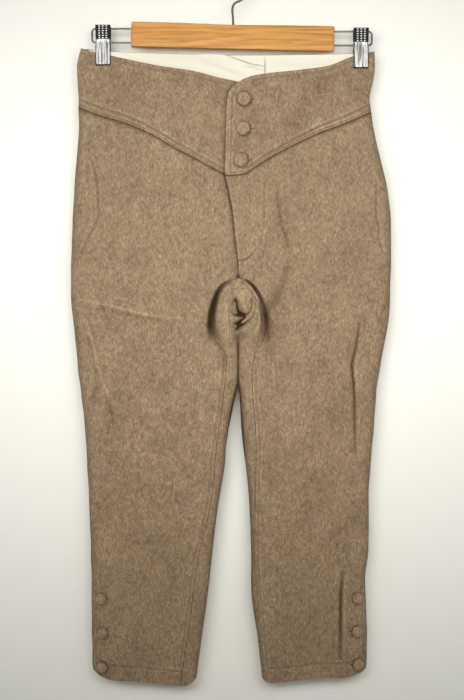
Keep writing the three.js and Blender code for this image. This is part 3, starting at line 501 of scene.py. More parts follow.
def unevenness(x, z):
    """The soft hand of brushed cloth: broad swells, then smaller ones."""
    broad = np.sin(x / 31 + 1.3 + 0.7 * np.sin(z / 57)) * np.sin(z / 43 + 0.4 + 0.8 * np.sin(x / 49))
    middle = np.sin(x / 15.5 + 2.1 + np.sin(z / 23)) * np.sin(z / 21 + 0.5 + np.sin(x / 27))
    small = np.sin(x / 6.1 + 1.9 * np.sin(z / 13)) * np.sin(z / 7.3 + 0.5 + 1.7 * np.sin(x / 11))
    return 0.75 * broad + 0.32 * middle + 0.1 * small


def crescent_relief(side, x, z):
    """The groove along the inseam under the fork: steep on the front panel, slanting on the thigh."""
    depth, floor, slant = (line(z) for line in CRESCENT_AT[side])
    slope = INSEAM_AT[side](z + 0.5) - INSEAM_AT[side](z - 0.5)
    away = OUTWARD[side] * (x - INSEAM_AT[side](z)) / np.sqrt(1 + slope * slope)
    past = np.maximum(0, np.abs(away) - floor)
    width = np.where(away > 0, CRESCENT_STEEPNESS * slant, slant)
    return np.maximum(0, depth) * bell(past, width)


DEEPEST_SHADE = 1.4
FOLD_SHADE = 1.5
FREE_DEPTH, DEEPEST_FOLD = 7.0, 11.5

# Painted soft shade that lies in the larger folds, and painted highlights where the strength is under nought:
# line, strength, half width.
FRONT_SHADE = [
    ([(45, -470), (46, -490), (47, -518)], 0.42, 6.5),
    ([(60, -452), (55, -480), (52, -508), (53, -532)], 0.14, 9),
    ([(78, -412), (70, -445), (57, -474)], 0.2, 5), ([(70, -446), (60, -466), (50, -482)], 0.12, 4.5),
    ([(-14, -520), (-12, -545), (-14, -575)], 0.3, 2.2),
    ([(7, -411), (13, -411.4), (21.4, -408), (28, -400)], 0.55, 1.3),
    ([(-26, -470), (-36, -490), (-36, -515)], 0.16, 7),
    ([(-4, -458), (-9, -475), (-11, -492), (-6, -512)], -0.36, 4.5),
    ([(33, -456), (37, -475), (37, -500), (30, -514)], -0.34, 3.6),
    ([(-25, -513), (-18, -531), (-14, -552)], 0.22, 4),
    ([(61, -300), (62, -316), (65, -347), (67, -361), (76, -386), (80, -402)], 0.34, 2.6),
    ([(60, -320), (63, -350), (68, -372)], 0.1, 9),
    ([(175, -500), (173, -519), (169, -541), (165, -556), (167, -575), (169, -606), (169, -637),
      (170, -676)], 0.85, 1.8),
    ([(178, -520), (173.6, -545), (170.5, -560), (172, -580), (173.6, -610), (174, -668)], -0.3, 2.4),
    (OUTER_KNEE, 0.16, 3),
    ([(-206, -500), (-196, -535), (-190, -566), (-192, -590), (-196, -612)], 0.24, 3.2),
    ([(-209, -491), (-197, -522), (-188, -562), (-178, -589), (-168, -606)], -0.4, 2.0),
    ([(-178, -602), (-171, -616), (-167, -640)], 0.4, 2.0),
    ([(-216, -464), (-196, -469), (-175, -473.5), (-140, -482), (-108, -488), (-60, -494)], -0.36, 2.0),
    ([(-205, -474), (-172, -480), (-138, -489), (-100, -495)], 0.2, 3.4),
    ([(-224, -460), (-219, -480), (-216, -520), (-210, -560)], 0.2, 2.4),
    ([(-164, -802), (-124, -804), (-84, -800)], 0.12, 9),
    (CUFF_LAP, 0.85, 1.8),
    ([(158, -848), (155, -878), (154.5, -921), (154, -964)], -0.2, 2.4),
    ([(134, -146), (120, -168), (100, -194), (94, -211), (72, -234)], 0.2, 11),
    (WAIST_TUCK, 0.18, 3),
    ([(214, -468), (208, -482), (203, -497)], 0.45, 1.8),
    ([(200, -560), (196, -585), (194, -610)], 0.14, 2.5),
    (INNER_KNEE, 0.12, 4),
]


FLY_SHADE_WEAKENS_Z = -390


def free_edge_shade(side, x, z):
    """Painted shadow that the upper layer's free edge lays on the layer under it; on the upper layer, a
    painted highlight along its edge, on the yoke as two pale stripes with a thin line of painted shade
    between.
    """
    on_yoke = z > np.where(x < -5, YOKE_SEAM_AT["right"](x), YOKE_SEAM_AT["left"](x))
    edge = np.where(on_yoke, OVERLAP_AT(z), FLY_AT(z))
    fade = smooth((z - FORK_Z - 2) / 14)
    away = x - edge
    if side == "right":
        soft = mix(0.25, 0.42, smooth((z - FLY_SHADE_WEAKENS_Z) / 60)) * bell(np.minimum(away, 0), 5.0)
        line = np.where(on_yoke, 0.45, 0.8) * bell(away + 0.6, np.where(on_yoke, 1.9, 2.3))
        return fade * np.where(away < 1.5, line + soft, 0.7)
    stripes = sum(bell(away - at, 1.1) for at in (1.6, 5.6))
    line = bell(away - 3.6, 0.8)
    return fade * np.where(on_yoke, 0.25 * line - 0.42 * stripes, -0.25 * bell(away - 2, 1.6))


PARTING_TOP_Z = -520
PARTING_WIDENS_Z = -572
PARTING_ENDS_Z = {"right": -672, "left": -700}


def parting_shade(side, x, z):
    """Painted deep shade on the inner edges just under the place where the legs part, with a paler painted
    band beside it where they still touch.
    """
    into_leg = np.maximum(0, OUTWARD[side] * (x - INNER_AT[side](z)))
    width = mix(0.7, 3.0, smooth((PARTING_WIDENS_Z - z) / 20))
    strength = smooth((PARTING_TOP_Z - z) / 6) * smooth((z - PARTING_ENDS_Z[side]) / 50)
    closed = smooth((z - PARTING_WIDENS_Z) / 10) * strength
    return 1.3 * strength * bell(into_leg, width) - 0.3 * closed * bell(into_leg - 4, 2.4)


def painted_front_shading(side, x, z):
    """Painted shade on the front's cloth: 1 deep in a fold or seam, under 0 a painted highlight on a ridge.
    """
    total = np.zeros_like(x)
    # Painted shade in the stitching's grooves, the tacks and the buttonholes, with a painted highlight beside
    # each stitched line.
    for points, depth, _, _ in SEWN:
        here, distance, _, _ = along(points, 12, x, z)
        total[here] += 0.66 * depth * bell(distance, 1.1) - 0.2 * bell(distance - 2.9, 1.5)
    for points in TACKS:
        here, distance, _, _ = along(points, TACK_REACH, x, z)
        total[here] += 0.45 * bell(distance, 1.3)
    for x0, z0, x1 in buttonholes():
        here, distance, _, _ = along([(x0, z0), (x1, z0)], BUTTONHOLE_REACH, x, z)
        total[here] += 0.8 * bell(distance, 0.9)
    # Painted shade on the V seam and on a line just above it, painted highlights on the ridges beside it and
    # past its topstitching.
    above = z - YOKE_SEAM_AT[side](x)
    total += 0.85 * bell(above, 1.1) + 0.8 * bell(above - 3.7, 0.9)
    total -= 0.42 * (bell(above - 2.1, 1.1) + bell(above - 5.4, 1.3))
    past_stitch = above - yoke_stitch_up(x)
    total -= 0.2 * bell(past_stitch - 2.6, 1.5)
    # A painted shadow ring round each button, set a little low and towards its buttonhole.
    for x0, z0, size in (WAIST_SEATS if side == "left" else []) + CUFF_SEATS[side]:
        lean = 0.9 if size == WAIST_BUTTON else -0.9 * OUTWARD[side]
        away = np.hypot(x - x0 - lean, z - z0 + 0.6) / (size / 2)
        total += 0.85 * bell(away - 1.02, 0.15) + 0.12 * bell(away, 1.4)
    # Painted shade where the legs part, under the overlaps' free edges, in the larger folds and in the
    # crescents.
    total += parting_shade(side, x, z)
    total += free_edge_shade(side, x, z)
    total += FOLD_SHADE * fold_relief(FRONT_SHADE, x, z)
    total += crescent_relief(side, x, z) / CRESCENT_SHADE[side]
    return np.clip(total, -0.5, DEEPEST_SHADE)


def shade_of(side, grid):
    """The painted shading of each point of a wall's outside, whose places are in millimetres: the front's
    painted shade and highlights, and faint painted shade in the back's creases.
    """
    x, y, z = (grid[..., i] for i in range(3))
    behind = fold_relief([(line, 0.1 * depth, width) for line, depth, width in BACK_CREASES], x, z)
    return np.where(y < 0, painted_front_shading(side, x, z), np.clip(behind, -0.3, 1))


def relief(side, face, x, z):
    """How far the cloth is sunk under its plain form, at places on the front or the back."""
    x, z, face = (np.array(a) for a in np.broadcast_arrays(x, z, face))
    total = np.zeros(x.shape)
    for one in (FRONT, BACK):
        here = face == one
        if not here.any():
            continue
        xs, zs = x[here], z[here]
        if one == FRONT:
            sunk = fold_relief(FRONT_FOLDS, xs, zs) + 1.5 * fold_relief(FRONT_CREASES, xs, zs)
            sunk += crescent_relief(side, xs, zs)
            sunk += sewn_relief(xs, zs) + seam_relief(xs, zs)
        else:
            sunk = fold_relief(BACK_FOLDS + BACK_CREASES, xs, zs)
        total[here] = sunk + unevenness(xs + 61 * one, zs)
    room = DEEPEST_FOLD - FREE_DEPTH
    deep = np.maximum(0, total - FREE_DEPTH)
    return np.minimum(total, FREE_DEPTH) + room * np.tanh(deep / room)


# The flat tube that the cloth makes, as it hangs.
def openness(z):
    """How far the inner edge has given way to flat cloth: nothing under the fork, all of it above."""
    down = clamp01((FORK_Z + FORK_CURVE_HEIGHT - z) / FORK_CURVE_HEIGHT)
    return np.sqrt(1 - down * down)


CLIP_X = {"right": -182, "left": 178.7}
CLIP_TOP_Z = {"right": -81.7, "left": -85.7}


def half_depth(face, x, z):
    """The flat tube's half depth, drawn in at the waist where the clips pinch it."""
    face = np.asarray(face)
    body = np.where(face == FRONT, HALF_DEPTH_AT[FRONT](z), HALF_DEPTH_AT[BACK](z))
    pinched = smooth((z - PINCH_GONE_Z) / (PINCH_FULL_Z - PINCH_GONE_Z))
    start = CLIP_X["right"] + PINCH_FLAT
    across = clamp01((x - start) / (CLIP_X["left"] - PINCH_FLAT - start))
    bow = np.sin(np.pi * across) ** 1.3
    bite = np.where(face == FRONT, PINCH[FRONT] + bow * PINCH_BOW[FRONT], PINCH[BACK] + bow * PINCH_BOW[BACK])
    return mix(body, bite, pinched)


def hollow_shift(side, x, y, z):
    """Under the fork the thighs part at the front and stay together behind."""
    along = clamp01((HOLLOW_TOP_Z - z) / (HOLLOW_TOP_Z - HOLLOW_BOTTOM_Z))
    inner, seam = INNER_AT[side](z), INSEAM_AT[side](z)
    span = np.where(np.abs(seam - inner) < 1e-6, 1e-6, seam - inner)
    near_inner = 1 - smooth((x - inner) / span)
    near_front = smooth(-y / HALF_DEPTH_AT[FRONT](z))
    return HOLLOW_SHIFT[side] * np.sin(np.pi * along) ** 0.8 * near_inner * near_front


def edge_ripple(z):
    """The slight waves of an ironed edge."""
    return 0.35 * np.sin(z / 8.7 + 1.1 * np.sin(z / 31)) * np.sin(z / 41)


def wall_point(side, face, zone, angle, x, z, inset, lift=0.0, fine=True):
    """x and y of the cloth's wall. angle is measured round an edge from its outermost line."""
    out = OUTWARD[side]
    outer = OUTER_AT[side](z) + out * edge_ripple(z)
    inner = INNER_AT[side](z)
    depth = half_depth(face, np.where(zone == OUTER, outer, x), z) - inset
    turn = np.radians(angle)
    rounding = 1 - np.cos(turn)
    opened = openness(z)
    outer_x = outer - out * (inset + (OUTER_ROUND_AT(z) - inset) * rounding)
    inner_x = inner + out * (inset + (INNER_ROUND_AT(z) - inset) * rounding)
    place = np.where(zone == OUTER, outer_x, np.where(zone == INNER, mix(inner_x, x, opened), x))
    share = np.where(zone == OUTER, np.sin(turn), np.where(zone == INNER, mix(np.sin(turn), 1, opened), 1.0))
    sunk = relief(side, face, place, z) if fine else 0.0
    y = face * (depth * share - sunk * share + lift + HALF_GAP)
    return place + hollow_shift(side, place, y, z), y


def inner_zone(side, x, z):
    """Which flat places lie in the inner edge's rounding, and at what angle."""
    radius = INNER_ROUND_AT(z)
    from_inner = OUTWARD[side] * (x - INNER_AT[side](z))
    zone = np.where(from_inner >= radius, FLAT, INNER)
    angle = np.degrees(np.arccos(clamp01(1 - np.maximum(0, from_inner) / radius)))
    return zone, np.where(zone == FLAT, 90.0, angle)


def settle(heights, points_at, height_at):
    """Rounds of finding a point's place from its height and its height from its place."""
    z = heights
    for _ in range(5):
        z = height_at(points_at(z, False)[0])
    x, y = points_at(z, True)
    return np.stack([x, y, np.broadcast_to(z, x.shape)], axis=-1)


def row_height(side, reference, x, top_at, top, top_far):
    """The height of a row that bends with the top edge near it, and with the hem near that."""
    near_top = clamp01((reference - top_far) / (top - top_far))
    near_hem = clamp01((reference - HEM_REFERENCE_Z - 90) / -90)
    return reference + (top_at(x) - top) * near_top + (HEM_AT[side](x) - HEM_REFERENCE_Z) * near_hem


def centre_lift(side, x, z, free_edge_at):
    """The upper layer's raise and the under layer's sinking at the centre front."""
    edge = free_edge_at(z)
    strength = smooth((z - FORK_Z - 2) / (FLY_END_Z - FORK_Z - 4))
    if side == "left":
        return OVERLAP_RAISE * strength * smooth(1 - (x - edge - 12) / 25)
    return -UNDERLAP_RECESS * strength * smooth((x - edge + 9) / 7)


EDGE_TURNS = 11
FRONT_COLUMNS = 148
PANEL_COLUMNS = EDGE_TURNS - 1 + FRONT_COLUMNS
CENTRE_CROWDING = 1.15
YOKE_ROWS = 74
YOKE_CROWDING = 1.35
YOKE_MIDDLE_Z = -200


def front_face(side, z, end, inset, lift_edge, fine):
    """A row of points from the outer edge to the centre edge, for each height."""
    angles = np.linspace(0, 90, EDGE_TURNS)[:-1]
    shares = 1 - np.linspace(1, 0, FRONT_COLUMNS) ** CENTRE_CROWDING
    round_z, flat_z = z[:, :len(angles)], z[:, len(angles):]
    start = OUTER_AT[side](flat_z) - OUTWARD[side] * OUTER_ROUND_AT(flat_z)
    flat_x = mix(start, end(flat_z), shares)
    zone, angle = inner_zone(side, flat_x, flat_z)
    lift = np.where(flat_z > FORK_Z, centre_lift(side, flat_x, flat_z, lift_edge), 0.0)
    flat = wall_point(side, FRONT, zone, angle, flat_x, flat_z, inset, lift, fine)
    turned = wall_point(side, FRONT, OUTER, angles, 0.0, round_z, inset, 0.0, fine)
    return [np.concatenate([a, b], axis=1) for a, b in zip(turned, flat)]


def front_grid(side, inset):
    """One front piece's points, so far inside its outer face, from the yoke seam to the hem."""
    out = OUTWARD[side]
    heights = np.arange(FRONT_TOP_Z, HEM_REFERENCE_Z - 1, -FRONT_ROW_STEP)
    heights = np.union1d(np.union1d(heights, FORK_ROWS), STITCH_ROWS)
    heights = np.union1d(heights, [HEM_REFERENCE_Z, FORK_Z, SLIT_TOP_Z])[::-1]
    reference = np.repeat(heights[:, None], PANEL_COLUMNS, axis=1)

    def end(z):
        below = INSEAM_AT[side](z) + out * SEAM_GAP
        underlap = FLY_UNDERLAP * smooth((z - FLY_END_Z) / 24)
        above = FLY_AT(z) + (SEAM_GAP if side == "left" else underlap - SEAM_GAP)
        return np.where(z < FORK_Z, below, above)

    def points_at(z, fine):
        return front_face(side, z, end, inset, FLY_AT, fine)

    def top_at(x):
        return YOKE_SEAM_AT[side](x) - SEAM_GAP

    def height_at(x):
        return row_height(side, reference, x, top_at, FRONT_TOP_Z, FORK_Z)

    return settle(reference, points_at, height_at)


def yoke_grid(side, inset):
    """One half of the yoke, from the waist to the V seam."""
    down = 1 - np.linspace(1, 0, YOKE_ROWS)[:, None] ** YOKE_CROWDING

    def end(z):
        edge = OVERLAP_AT(z)
        return edge if side == "left" else np.minimum(edge + YOKE_UNDERLAP, 24)

    def points_at(z, fine):
        return front_face(side, z, end, inset, OVERLAP_AT, fine)

    def height_at(x):
        return mix(WAIST_AT[side](x), YOKE_SEAM_AT[side](x) + SEAM_GAP, down)

    return settle(np.full((YOKE_ROWS, PANEL_COLUMNS), float(YOKE_MIDDLE_Z)), points_at, height_at)


BACK_COLUMNS = 100


def edge_length(face, x, z):
    """About how far round a quarter of the inner edge's rounding is."""
    return (math.pi / 4) * (INNER_ROUND_AT(z) + half_depth(face, x, z))


def wrap_distance(side, z):
    """How far the back piece reaches round the inner edge to the inseam on the front."""
    inner = INNER_AT[side](z)
    wrap = np.maximum(0, OUTWARD[side] * (INSEAM_AT[side](z) - inner) - SEAM_GAP)
    radius = INNER_ROUND_AT(z)
    length = edge_length(FRONT, inner, z)
    in_rounding = -length * np.arccos(clamp01(1 - wrap / radius)) / (math.pi / 2)
    distance = np.where(wrap >= radius, -(length + wrap - radius), in_rounding)
    return np.where(z >= FORK_Z, SEAM_GAP, distance)


def back_grid(side, inset):
    """One back piece, from the inseam on the front, round the inner edge, to the outer seam."""
    out = OUTWARD[side]
    heights = np.arange(BACK_TOP_Z, HEM_REFERENCE_Z - 1, -BACK_ROW_STEP)
    extra = [HEM_REFERENCE_Z, FORK_Z, SLIT_TOP_Z + 3, SLIT_TOP_Z, SLIT_TOP_Z - 0.5, SLIT_TOP_Z - 6]
    heights = np.union1d(np.union1d(heights, FORK_ROWS), extra)[::-1]
    turns = np.linspace(90, 0, EDGE_TURNS)[1:]
    reference = np.repeat(heights[:, None], BACK_COLUMNS + len(turns), axis=1)

    def flat_part(z, fine):
        inner = INNER_AT[side](z)
        width = out * (OUTER_AT[side](z) - inner)
        end = edge_length(BACK, inner, z) + width - OUTER_ROUND_AT(z) - INNER_ROUND_AT(z)
        start = wrap_distance(side, z)
        distance = mix(start, end, np.linspace(0, 1, BACK_COLUMNS))
        nearest = np.argmin(np.abs(distance), axis=1)
        rows = np.flatnonzero(start[:, 0] < 0)
        distance[rows, nearest[rows]] = 0
        face = np.where(distance < 0, FRONT, BACK)
        length = edge_length(face, inner, z)
        reach = np.abs(distance)
        radius = INNER_ROUND_AT(z)
        x = inner + out * np.where(reach < length, radius * reach / length, radius + reach - length)
        zone = np.where(reach >= length, FLAT, INNER)
        angle = np.where(zone == FLAT, 90.0, 90 * reach / length)
        return wall_point(side, face, zone, angle, x, z, inset, 0.0, fine)

    def round_part(z, fine):
        wrapped = smooth((SLIT_TOP_Z - 1 - z) / 4)
        angle = mix(turns, mix(90, SLIT_UNDERLAP_ANGLE, (90 - turns) / 90), wrapped)
        under = SLIT_RECESS * smooth((34 - angle) / 26) * smooth((SLIT_TOP_Z + 2.5 - z) / 2.5)
        face = np.where(angle < 0, FRONT, BACK)
        return wall_point(side, face, OUTER, np.abs(angle), 0.0, z, inset + under, 0.0, fine)

    def points_at(z, fine):
        parts = flat_part(z[:, :BACK_COLUMNS], fine), round_part(z[:, BACK_COLUMNS:], fine)
        return [np.concatenate([a, b], axis=1) for a, b in zip(*parts)]

    def height_at(x):
        return row_height(side, reference, x, BACK_TOP_AT, BACK_TOP_Z, WAIST_BEND_ENDS_Z)

    return settle(reference, points_at, height_at)


SEAT_FOLD_ROWS, SEAT_FOLD_COLUMNS = 106, 50
SEAT_FOLD_ACROSS, SEAT_FOLD_DOWN = (-8, 36), (-422, -528)
SEAT_FOLD_PROUD, SEAT_FOLD_SINKS = 13.2, 10
SEAT_FOLD_TOP_Z, SEAT_FOLD_BOTTOM_Z = -462, -508
SEAT_FOLD_WALL = 1.2


def seat_fold():
    """The seat's cloth where it shows between the parted thighs: outside, inside and shade."""
    xs, zs = np.linspace(*SEAT_FOLD_ACROSS, SEAT_FOLD_COLUMNS), np.linspace(*SEAT_FOLD_DOWN, SEAT_FOLD_ROWS)
    x, z = np.meshgrid(xs, zs)
    top = smooth((z - SEAT_FOLD_TOP_Z) / 18)
    bottom = smooth((SEAT_FOLD_BOTTOM_Z - z) / 14)
    proud = SEAT_FOLD_PROUD + 0.6 * top - SEAT_FOLD_SINKS * bottom - 4.5 * smooth((z + 431) / 9)
    for side in SIDES:
        past_edge = OUTWARD[side] * (x - INSEAM_AT[side](z)) + 4.6
        proud = proud - SEAT_FOLD_SINKS * smooth(past_edge / 3)
    sunk = fold_relief(SEAT_FOLD_GROOVES + SEAT_FOLD_SWELLS + SEAT_FOLD_SEAM, x, z)
    sunk += 0.5 * np.sin(x / 5 + z / 9) * (1 - top)
    # Painted shade in the grooves, on the centre seam, along a line across and towards the fold's foot;
    # painted highlight on the swells and, a little, all over.
    shade = 0.3 * fold_relief(SEAT_FOLD_GROOVES, x, z) + 0.5 * fold_relief(SEAT_FOLD_SEAM, x, z)
    shade += 0.1 * fold_relief(SEAT_FOLD_SWELLS, x, z) - 0.1
    shade += 0.35 * bell(z + 450.5, 1.2) + 0.8 * smooth((-511 - z) / 8)
    layers = [np.stack([x, -(proud - sunk) + inset, z], axis=-1) for inset in (0.0, SEAT_FOLD_WALL)]
    return layers[0], layers[1], np.clip(shade, -0.3, DEEPEST_SHADE)


# Mesh making.
def signed_volume(points, quads):
    """The volume inside the quads, under 0 where they face inwards."""
    a, b, c, d = (points[quads[:, i]] for i in range(4))
    halves = np.einsum("ij,ij->", a, np.cross(b, c)) + np.einsum("ij,ij->", a, np.cross(c, d))
    return halves / 6


RIM_ROUNDING = 0.3


def grid_and_rim(rows, columns):
    """The numbers of a grid's points, and of those round its edge in order."""
    grid = np.arange(rows * columns).reshape(rows, columns)
    return grid, np.concatenate([grid[0, :-1], grid[:-1, -1], grid[-1, :0:-1], grid[:0:-1, 0]])


def closed_wall(outside, inside):
    """Points and quads of a thin closed wall between two grids, its rim slightly rounded."""
    rows, columns = outside.shape[:2]
    count = rows * columns
    grid, loop = grid_and_rim(rows, columns)
    r, c = np.divmod(loop, columns)
    within = grid[np.clip(r, 1, rows - 2), np.clip(c, 1, columns - 2)]
    outside, inside = outside.reshape(-1, 3).copy(), inside.reshape(-1, 3).copy()
    rim = (outside[loop] + inside[loop]) / 2
    for layer in (outside, inside):
        step = layer[within] - layer[loop]
        step /= np.maximum(np.linalg.norm(step, axis=1, keepdims=True), 1e-9)
        layer[loop] += step * RIM_ROUNDING
    a, b, c, d = grid[:-1, :-1], grid[1:, :-1], grid[1:, 1:], grid[:-1, 1:]
    front = np.stack([a, b, c, d], axis=-1).reshape(-1, 4)
    back = front[:, ::-1] + count
    after = np.roll(loop, -1)
    k = np.arange(len(loop)) + 2 * count
    k_after = np.roll(k, -1)
    near = np.stack([after, loop, k, k_after], axis=-1)
    far = np.stack([k_after, k, loop + count, after + count], axis=-1)
    points = np.concatenate([outside, inside, rim])
    quads = np.concatenate([front, back, near, far])
    if signed_volume(points, quads) < 0:
        quads = quads[:, ::-1]
    return points, quads


def spread_shade(shade):
    """A wall's shade for all of its points: the outside's own, none inside, and the rim's as its edge."""
    _, loop = grid_and_rim(*shade.shape)
    flat = shade.ravel()
    return np.concatenate([flat, np.zeros(flat.shape), flat[loop]])


def make_object(name, points, faces, materials, face_materials=None, sharp=50):
    """A smooth-shaded object from points in millimetres."""
    mesh = bpy.data.meshes.new(name)
    mesh.from_pydata((np.asarray(points) * MM).tolist(), [], [list(map(int, f)) for f in faces])
    for material in materials:
        mesh.materials.append(material)
    if face_materials is not None:
        mesh.polygons.foreach_set("material_index", np.asarray(face_materials, dtype=np.int32))
    mesh.shade_smooth()
    mesh.set_sharp_from_angle(angle=math.radians(sharp))
    mesh.validate()
    obj = bpy.data.objects.new(name, mesh)
    bpy.context.scene.collection.objects.link(obj)
    return obj


def mark(obj, shades):
    """Give each point of a cloth piece its painted shade or painted highlight."""
    painted_shading = obj.data.attributes.new("painted_shading", "FLOAT", "POINT")
    painted_shading.data.foreach_set("value", shades.astype(np.float32))


def finish_piece(obj, slot, *nodes):
    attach(obj, "root")
    if nodes:
        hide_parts(*nodes)


def ring_faces(rings, sides, first=0):
    """The faces between rings of points that follow each other, numbered from the first."""
    faces = []
    for start in range(first, first + (rings - 1) * sides, sides):
        for j in range(sides):
            k = (j + 1) % sides
            faces.append((start + j, start + sides + j, start + sides + k, start + k))
    return faces


def end_faces(rings, sides):
    """The faces that close the first and the last ring."""
    last = (rings - 1) * sides
    return [tuple(range(sides)), tuple(range(last, last + sides))[::-1]]


def tube(path, radius, sides):
    """Points and faces of a round wire along a path of points."""
    path = np.asarray(path, dtype=float)
    tangents = np.gradient(path, axis=0)
    tangents /= np.linalg.norm(tangents, axis=1, keepdims=True)
    normal = np.cross(tangents[0], [0.0, 1.0, 0.0])
    if np.linalg.norm(normal) < 0.1:
        normal = np.cross(tangents[0], [0.0, 0.0, 1.0])
    points = []
    turns = np.linspace(0, 2 * np.pi, sides, endpoint=False)
    for place, tangent in zip(path, tangents):
        normal = normal - tangent * np.dot(normal, tangent)
        normal /= np.linalg.norm(normal)
        side = np.cross(tangent, normal)
        ring = place + radius * (np.outer(np.cos(turns), normal) + np.outer(np.sin(turns), side))
        points.append(ring)
    faces = ring_faces(len(path), sides) + end_faces(len(path), sides)
    return np.concatenate(points), [face[::-1] for face in faces]


def join_shapes(shapes):
    """One list of points and one of faces from several shapes."""
    points, faces, start = [], [], 0
    for shape_points, shape_faces in shapes:
        points.append(np.asarray(shape_points))
        faces += [tuple(index + start for index in face) for face in shape_faces]
        start += len(shape_points)
    return np.concatenate(points), faces


# Shader building.
def node_group(name, inputs, outputs, build):
    """A shader node group with named sockets. build places its nodes and links them."""
    group = bpy.data.node_groups.get(name)
    if group:
        return group
    group = bpy.data.node_groups.new(name, "ShaderNodeTree")
    for label, kind, default in inputs:
        socket = group.interface.new_socket(name=label, in_out="INPUT", socket_type=kind)
        socket.default_value = default
    for label, kind in outputs:
        group.interface.new_socket(name=label, in_out="OUTPUT", socket_type=kind)
    entry = group.nodes.new("NodeGroupInput")
    leave = group.nodes.new("NodeGroupOutput")
    build(Shader(group), entry.outputs, leave.inputs)
    return group


class Shader:
    """Short calls for the nodes of one tree."""

    def __init__(self, tree):
        self.tree = tree

    def node(self, kind, values=None, **settings):
        made = self.tree.nodes.new(kind)
        for key, value in settings.items():
            setattr(made, key, value)
        for key, value in (values or {}).items():
            self.put(made.inputs[key], value)
        return made

    def put(self, socket, value):
        if isinstance(value, bpy.types.NodeSocket):
            self.tree.links.new(value, socket)
        else:
            socket.default_value = value

    def noise(self, vector, scale, detail=2.0, roughness=0.5, distortion=0.0):
        values = {"Vector": vector, "Scale": scale, "Detail": detail, "Roughness": roughness,
                  "Distortion": distortion}
        return self.node("ShaderNodeTexNoise", values).outputs["Fac"]

    def stretch(self, vector, scale, turn=(0, 0, 0)):
        values = {"Vector": vector, "Scale": scale, "Rotation": turn}
        return self.node("ShaderNodeMapping", values).outputs["Vector"]

    def span(self, value, low, high, to_low=0.0, to_high=1.0):
        values = {"Value": value, "From Min": low, "From Max": high, "To Min": to_low, "To Max": to_high}
        return self.node("ShaderNodeMapRange", values).outputs["Result"]

    def math(self, operation, a, b):
        return self.node("ShaderNodeMath", {0: a, 1: b}, operation=operation).outputs[0]

    def mix(self, share, a, b, blend="MIX"):
        made = self.node("ShaderNodeMix", data_type="RGBA", blend_type=blend)
        self.put(made.inputs["Factor"], share)
        self.put(made.inputs[6], a)
        self.put(made.inputs[7], b)
        return made.outputs[2]

    def place(self):
        return self.node("ShaderNodeTexCoord").outputs["Object"]

    def painted_shading(self):
        """The painted shade and painted highlights that the cloth's points carry."""
        return self.node("ShaderNodeAttribute", attribute_name="painted_shading").outputs["Fac"]

    def bump(self, height, strength, distance):
        values = {"Height": height, "Strength": strength, "Distance": distance}
        return self.node("ShaderNodeBump", values).outputs["Normal"]

    def use(self, group, values):
        made = self.node("ShaderNodeGroup", node_tree=group)
        for key, value in values.items():
            self.put(made.inputs[key], value)
        return made.outputs


COLOUR, VALUE = "NodeSocketColor", "NodeSocketFloat"
WHITE = (1, 1, 1, 1)


def palette():
    return bpy.context.scene.trousers_colours


def tinted(colour, factor=1.0):
    """A colour for a socket, multiplied by one factor or by one for each channel."""
    return (*np.multiply(tuple(colour), factor).tolist(), 1.0)


# Shade takes a little more blue than red out of the wool.
SHADE_WARMTH = (0.97, 1.02, 1.05)


def melange_group():
    """Brushed wool: fibres that run down the cloth, pale and dark hairs, and slow changes of tone, with
    painted shade from Shade, which paints a highlight where it is under nought.
    """
    inputs = [
        ("Dark", COLOUR, WHITE), ("Middle", COLOUR, WHITE), ("Pale", COLOUR, WHITE),
        ("Fineness", VALUE, 1.0), ("Shade", VALUE, 0.0),
    ]

    def build(s, inputs, outputs):
        place = s.node("ShaderNodeVectorMath", {0: s.place(), "Scale": inputs["Fineness"]}, operation="SCALE")
        place = place.outputs[0]
        streaks = s.noise(s.stretch(place, (1.0, 1.0, 0.32)), 620.0, 3.0, 0.62, 0.3)
        hairs = s.noise(s.stretch(place, (1.0, 1.0, 0.2), (0, 0.5, 0)), 1250.0)
        hairs_across = s.noise(s.stretch(place, (0.3, 0.3, 1.0), (0, 0.35, 0)), 900.0)
        clumps = s.noise(s.stretch(place, (1.0, 1.0, 0.75)), 190.0, 3.0, 0.6)
        patches = s.noise(s.stretch(place, (1.0, 1.0, 0.7)), 55.0)
        tone = s.noise(place, 15.0)
        body = s.mix(s.span(streaks, 0.3, 0.7), inputs["Dark"], inputs["Middle"])
        pale = s.math("MULTIPLY", s.span(hairs, 0.5, 0.68), 0.5)
        body = s.mix(pale, body, inputs["Pale"])
        dark = s.math("MULTIPLY", s.span(hairs_across, 0.55, 0.7), 0.4)
        body = s.mix(dark, body, inputs["Dark"])
        mottle = s.math("MULTIPLY", s.span(clumps, 0.3, 0.7, 0.8, 1.2), s.span(tone, 0.25, 0.75, 0.93, 1.07))
        mottle = s.math("MULTIPLY", mottle, s.span(patches, 0.3, 0.7, 0.91, 1.09))
        # Painted shade: Shade takes colour out of each channel by SHADE_WARMTH.
        channels = {}
        for channel, warmth in enumerate(SHADE_WARMTH):
            left = s.math("SUBTRACT", 1.0, s.math("MULTIPLY", inputs["Shade"], warmth))
            channels[channel] = s.math("MULTIPLY", mottle, left)
        mottle_and_painted_shade = s.node("ShaderNodeCombineColor", channels).outputs[0]
        s.put(outputs["Color"], s.mix(1.0, body, mottle_and_painted_shade, "MULTIPLY"))
        height = s.math("ADD", s.math("MULTIPLY", streaks, 0.5), s.math("MULTIPLY", hairs, 0.3))
        s.put(outputs["Height"], s.math("ADD", height, s.math("MULTIPLY", clumps, 0.6)))

    return node_group("Melange wool", inputs, [("Color", COLOUR), ("Height", VALUE)], build)


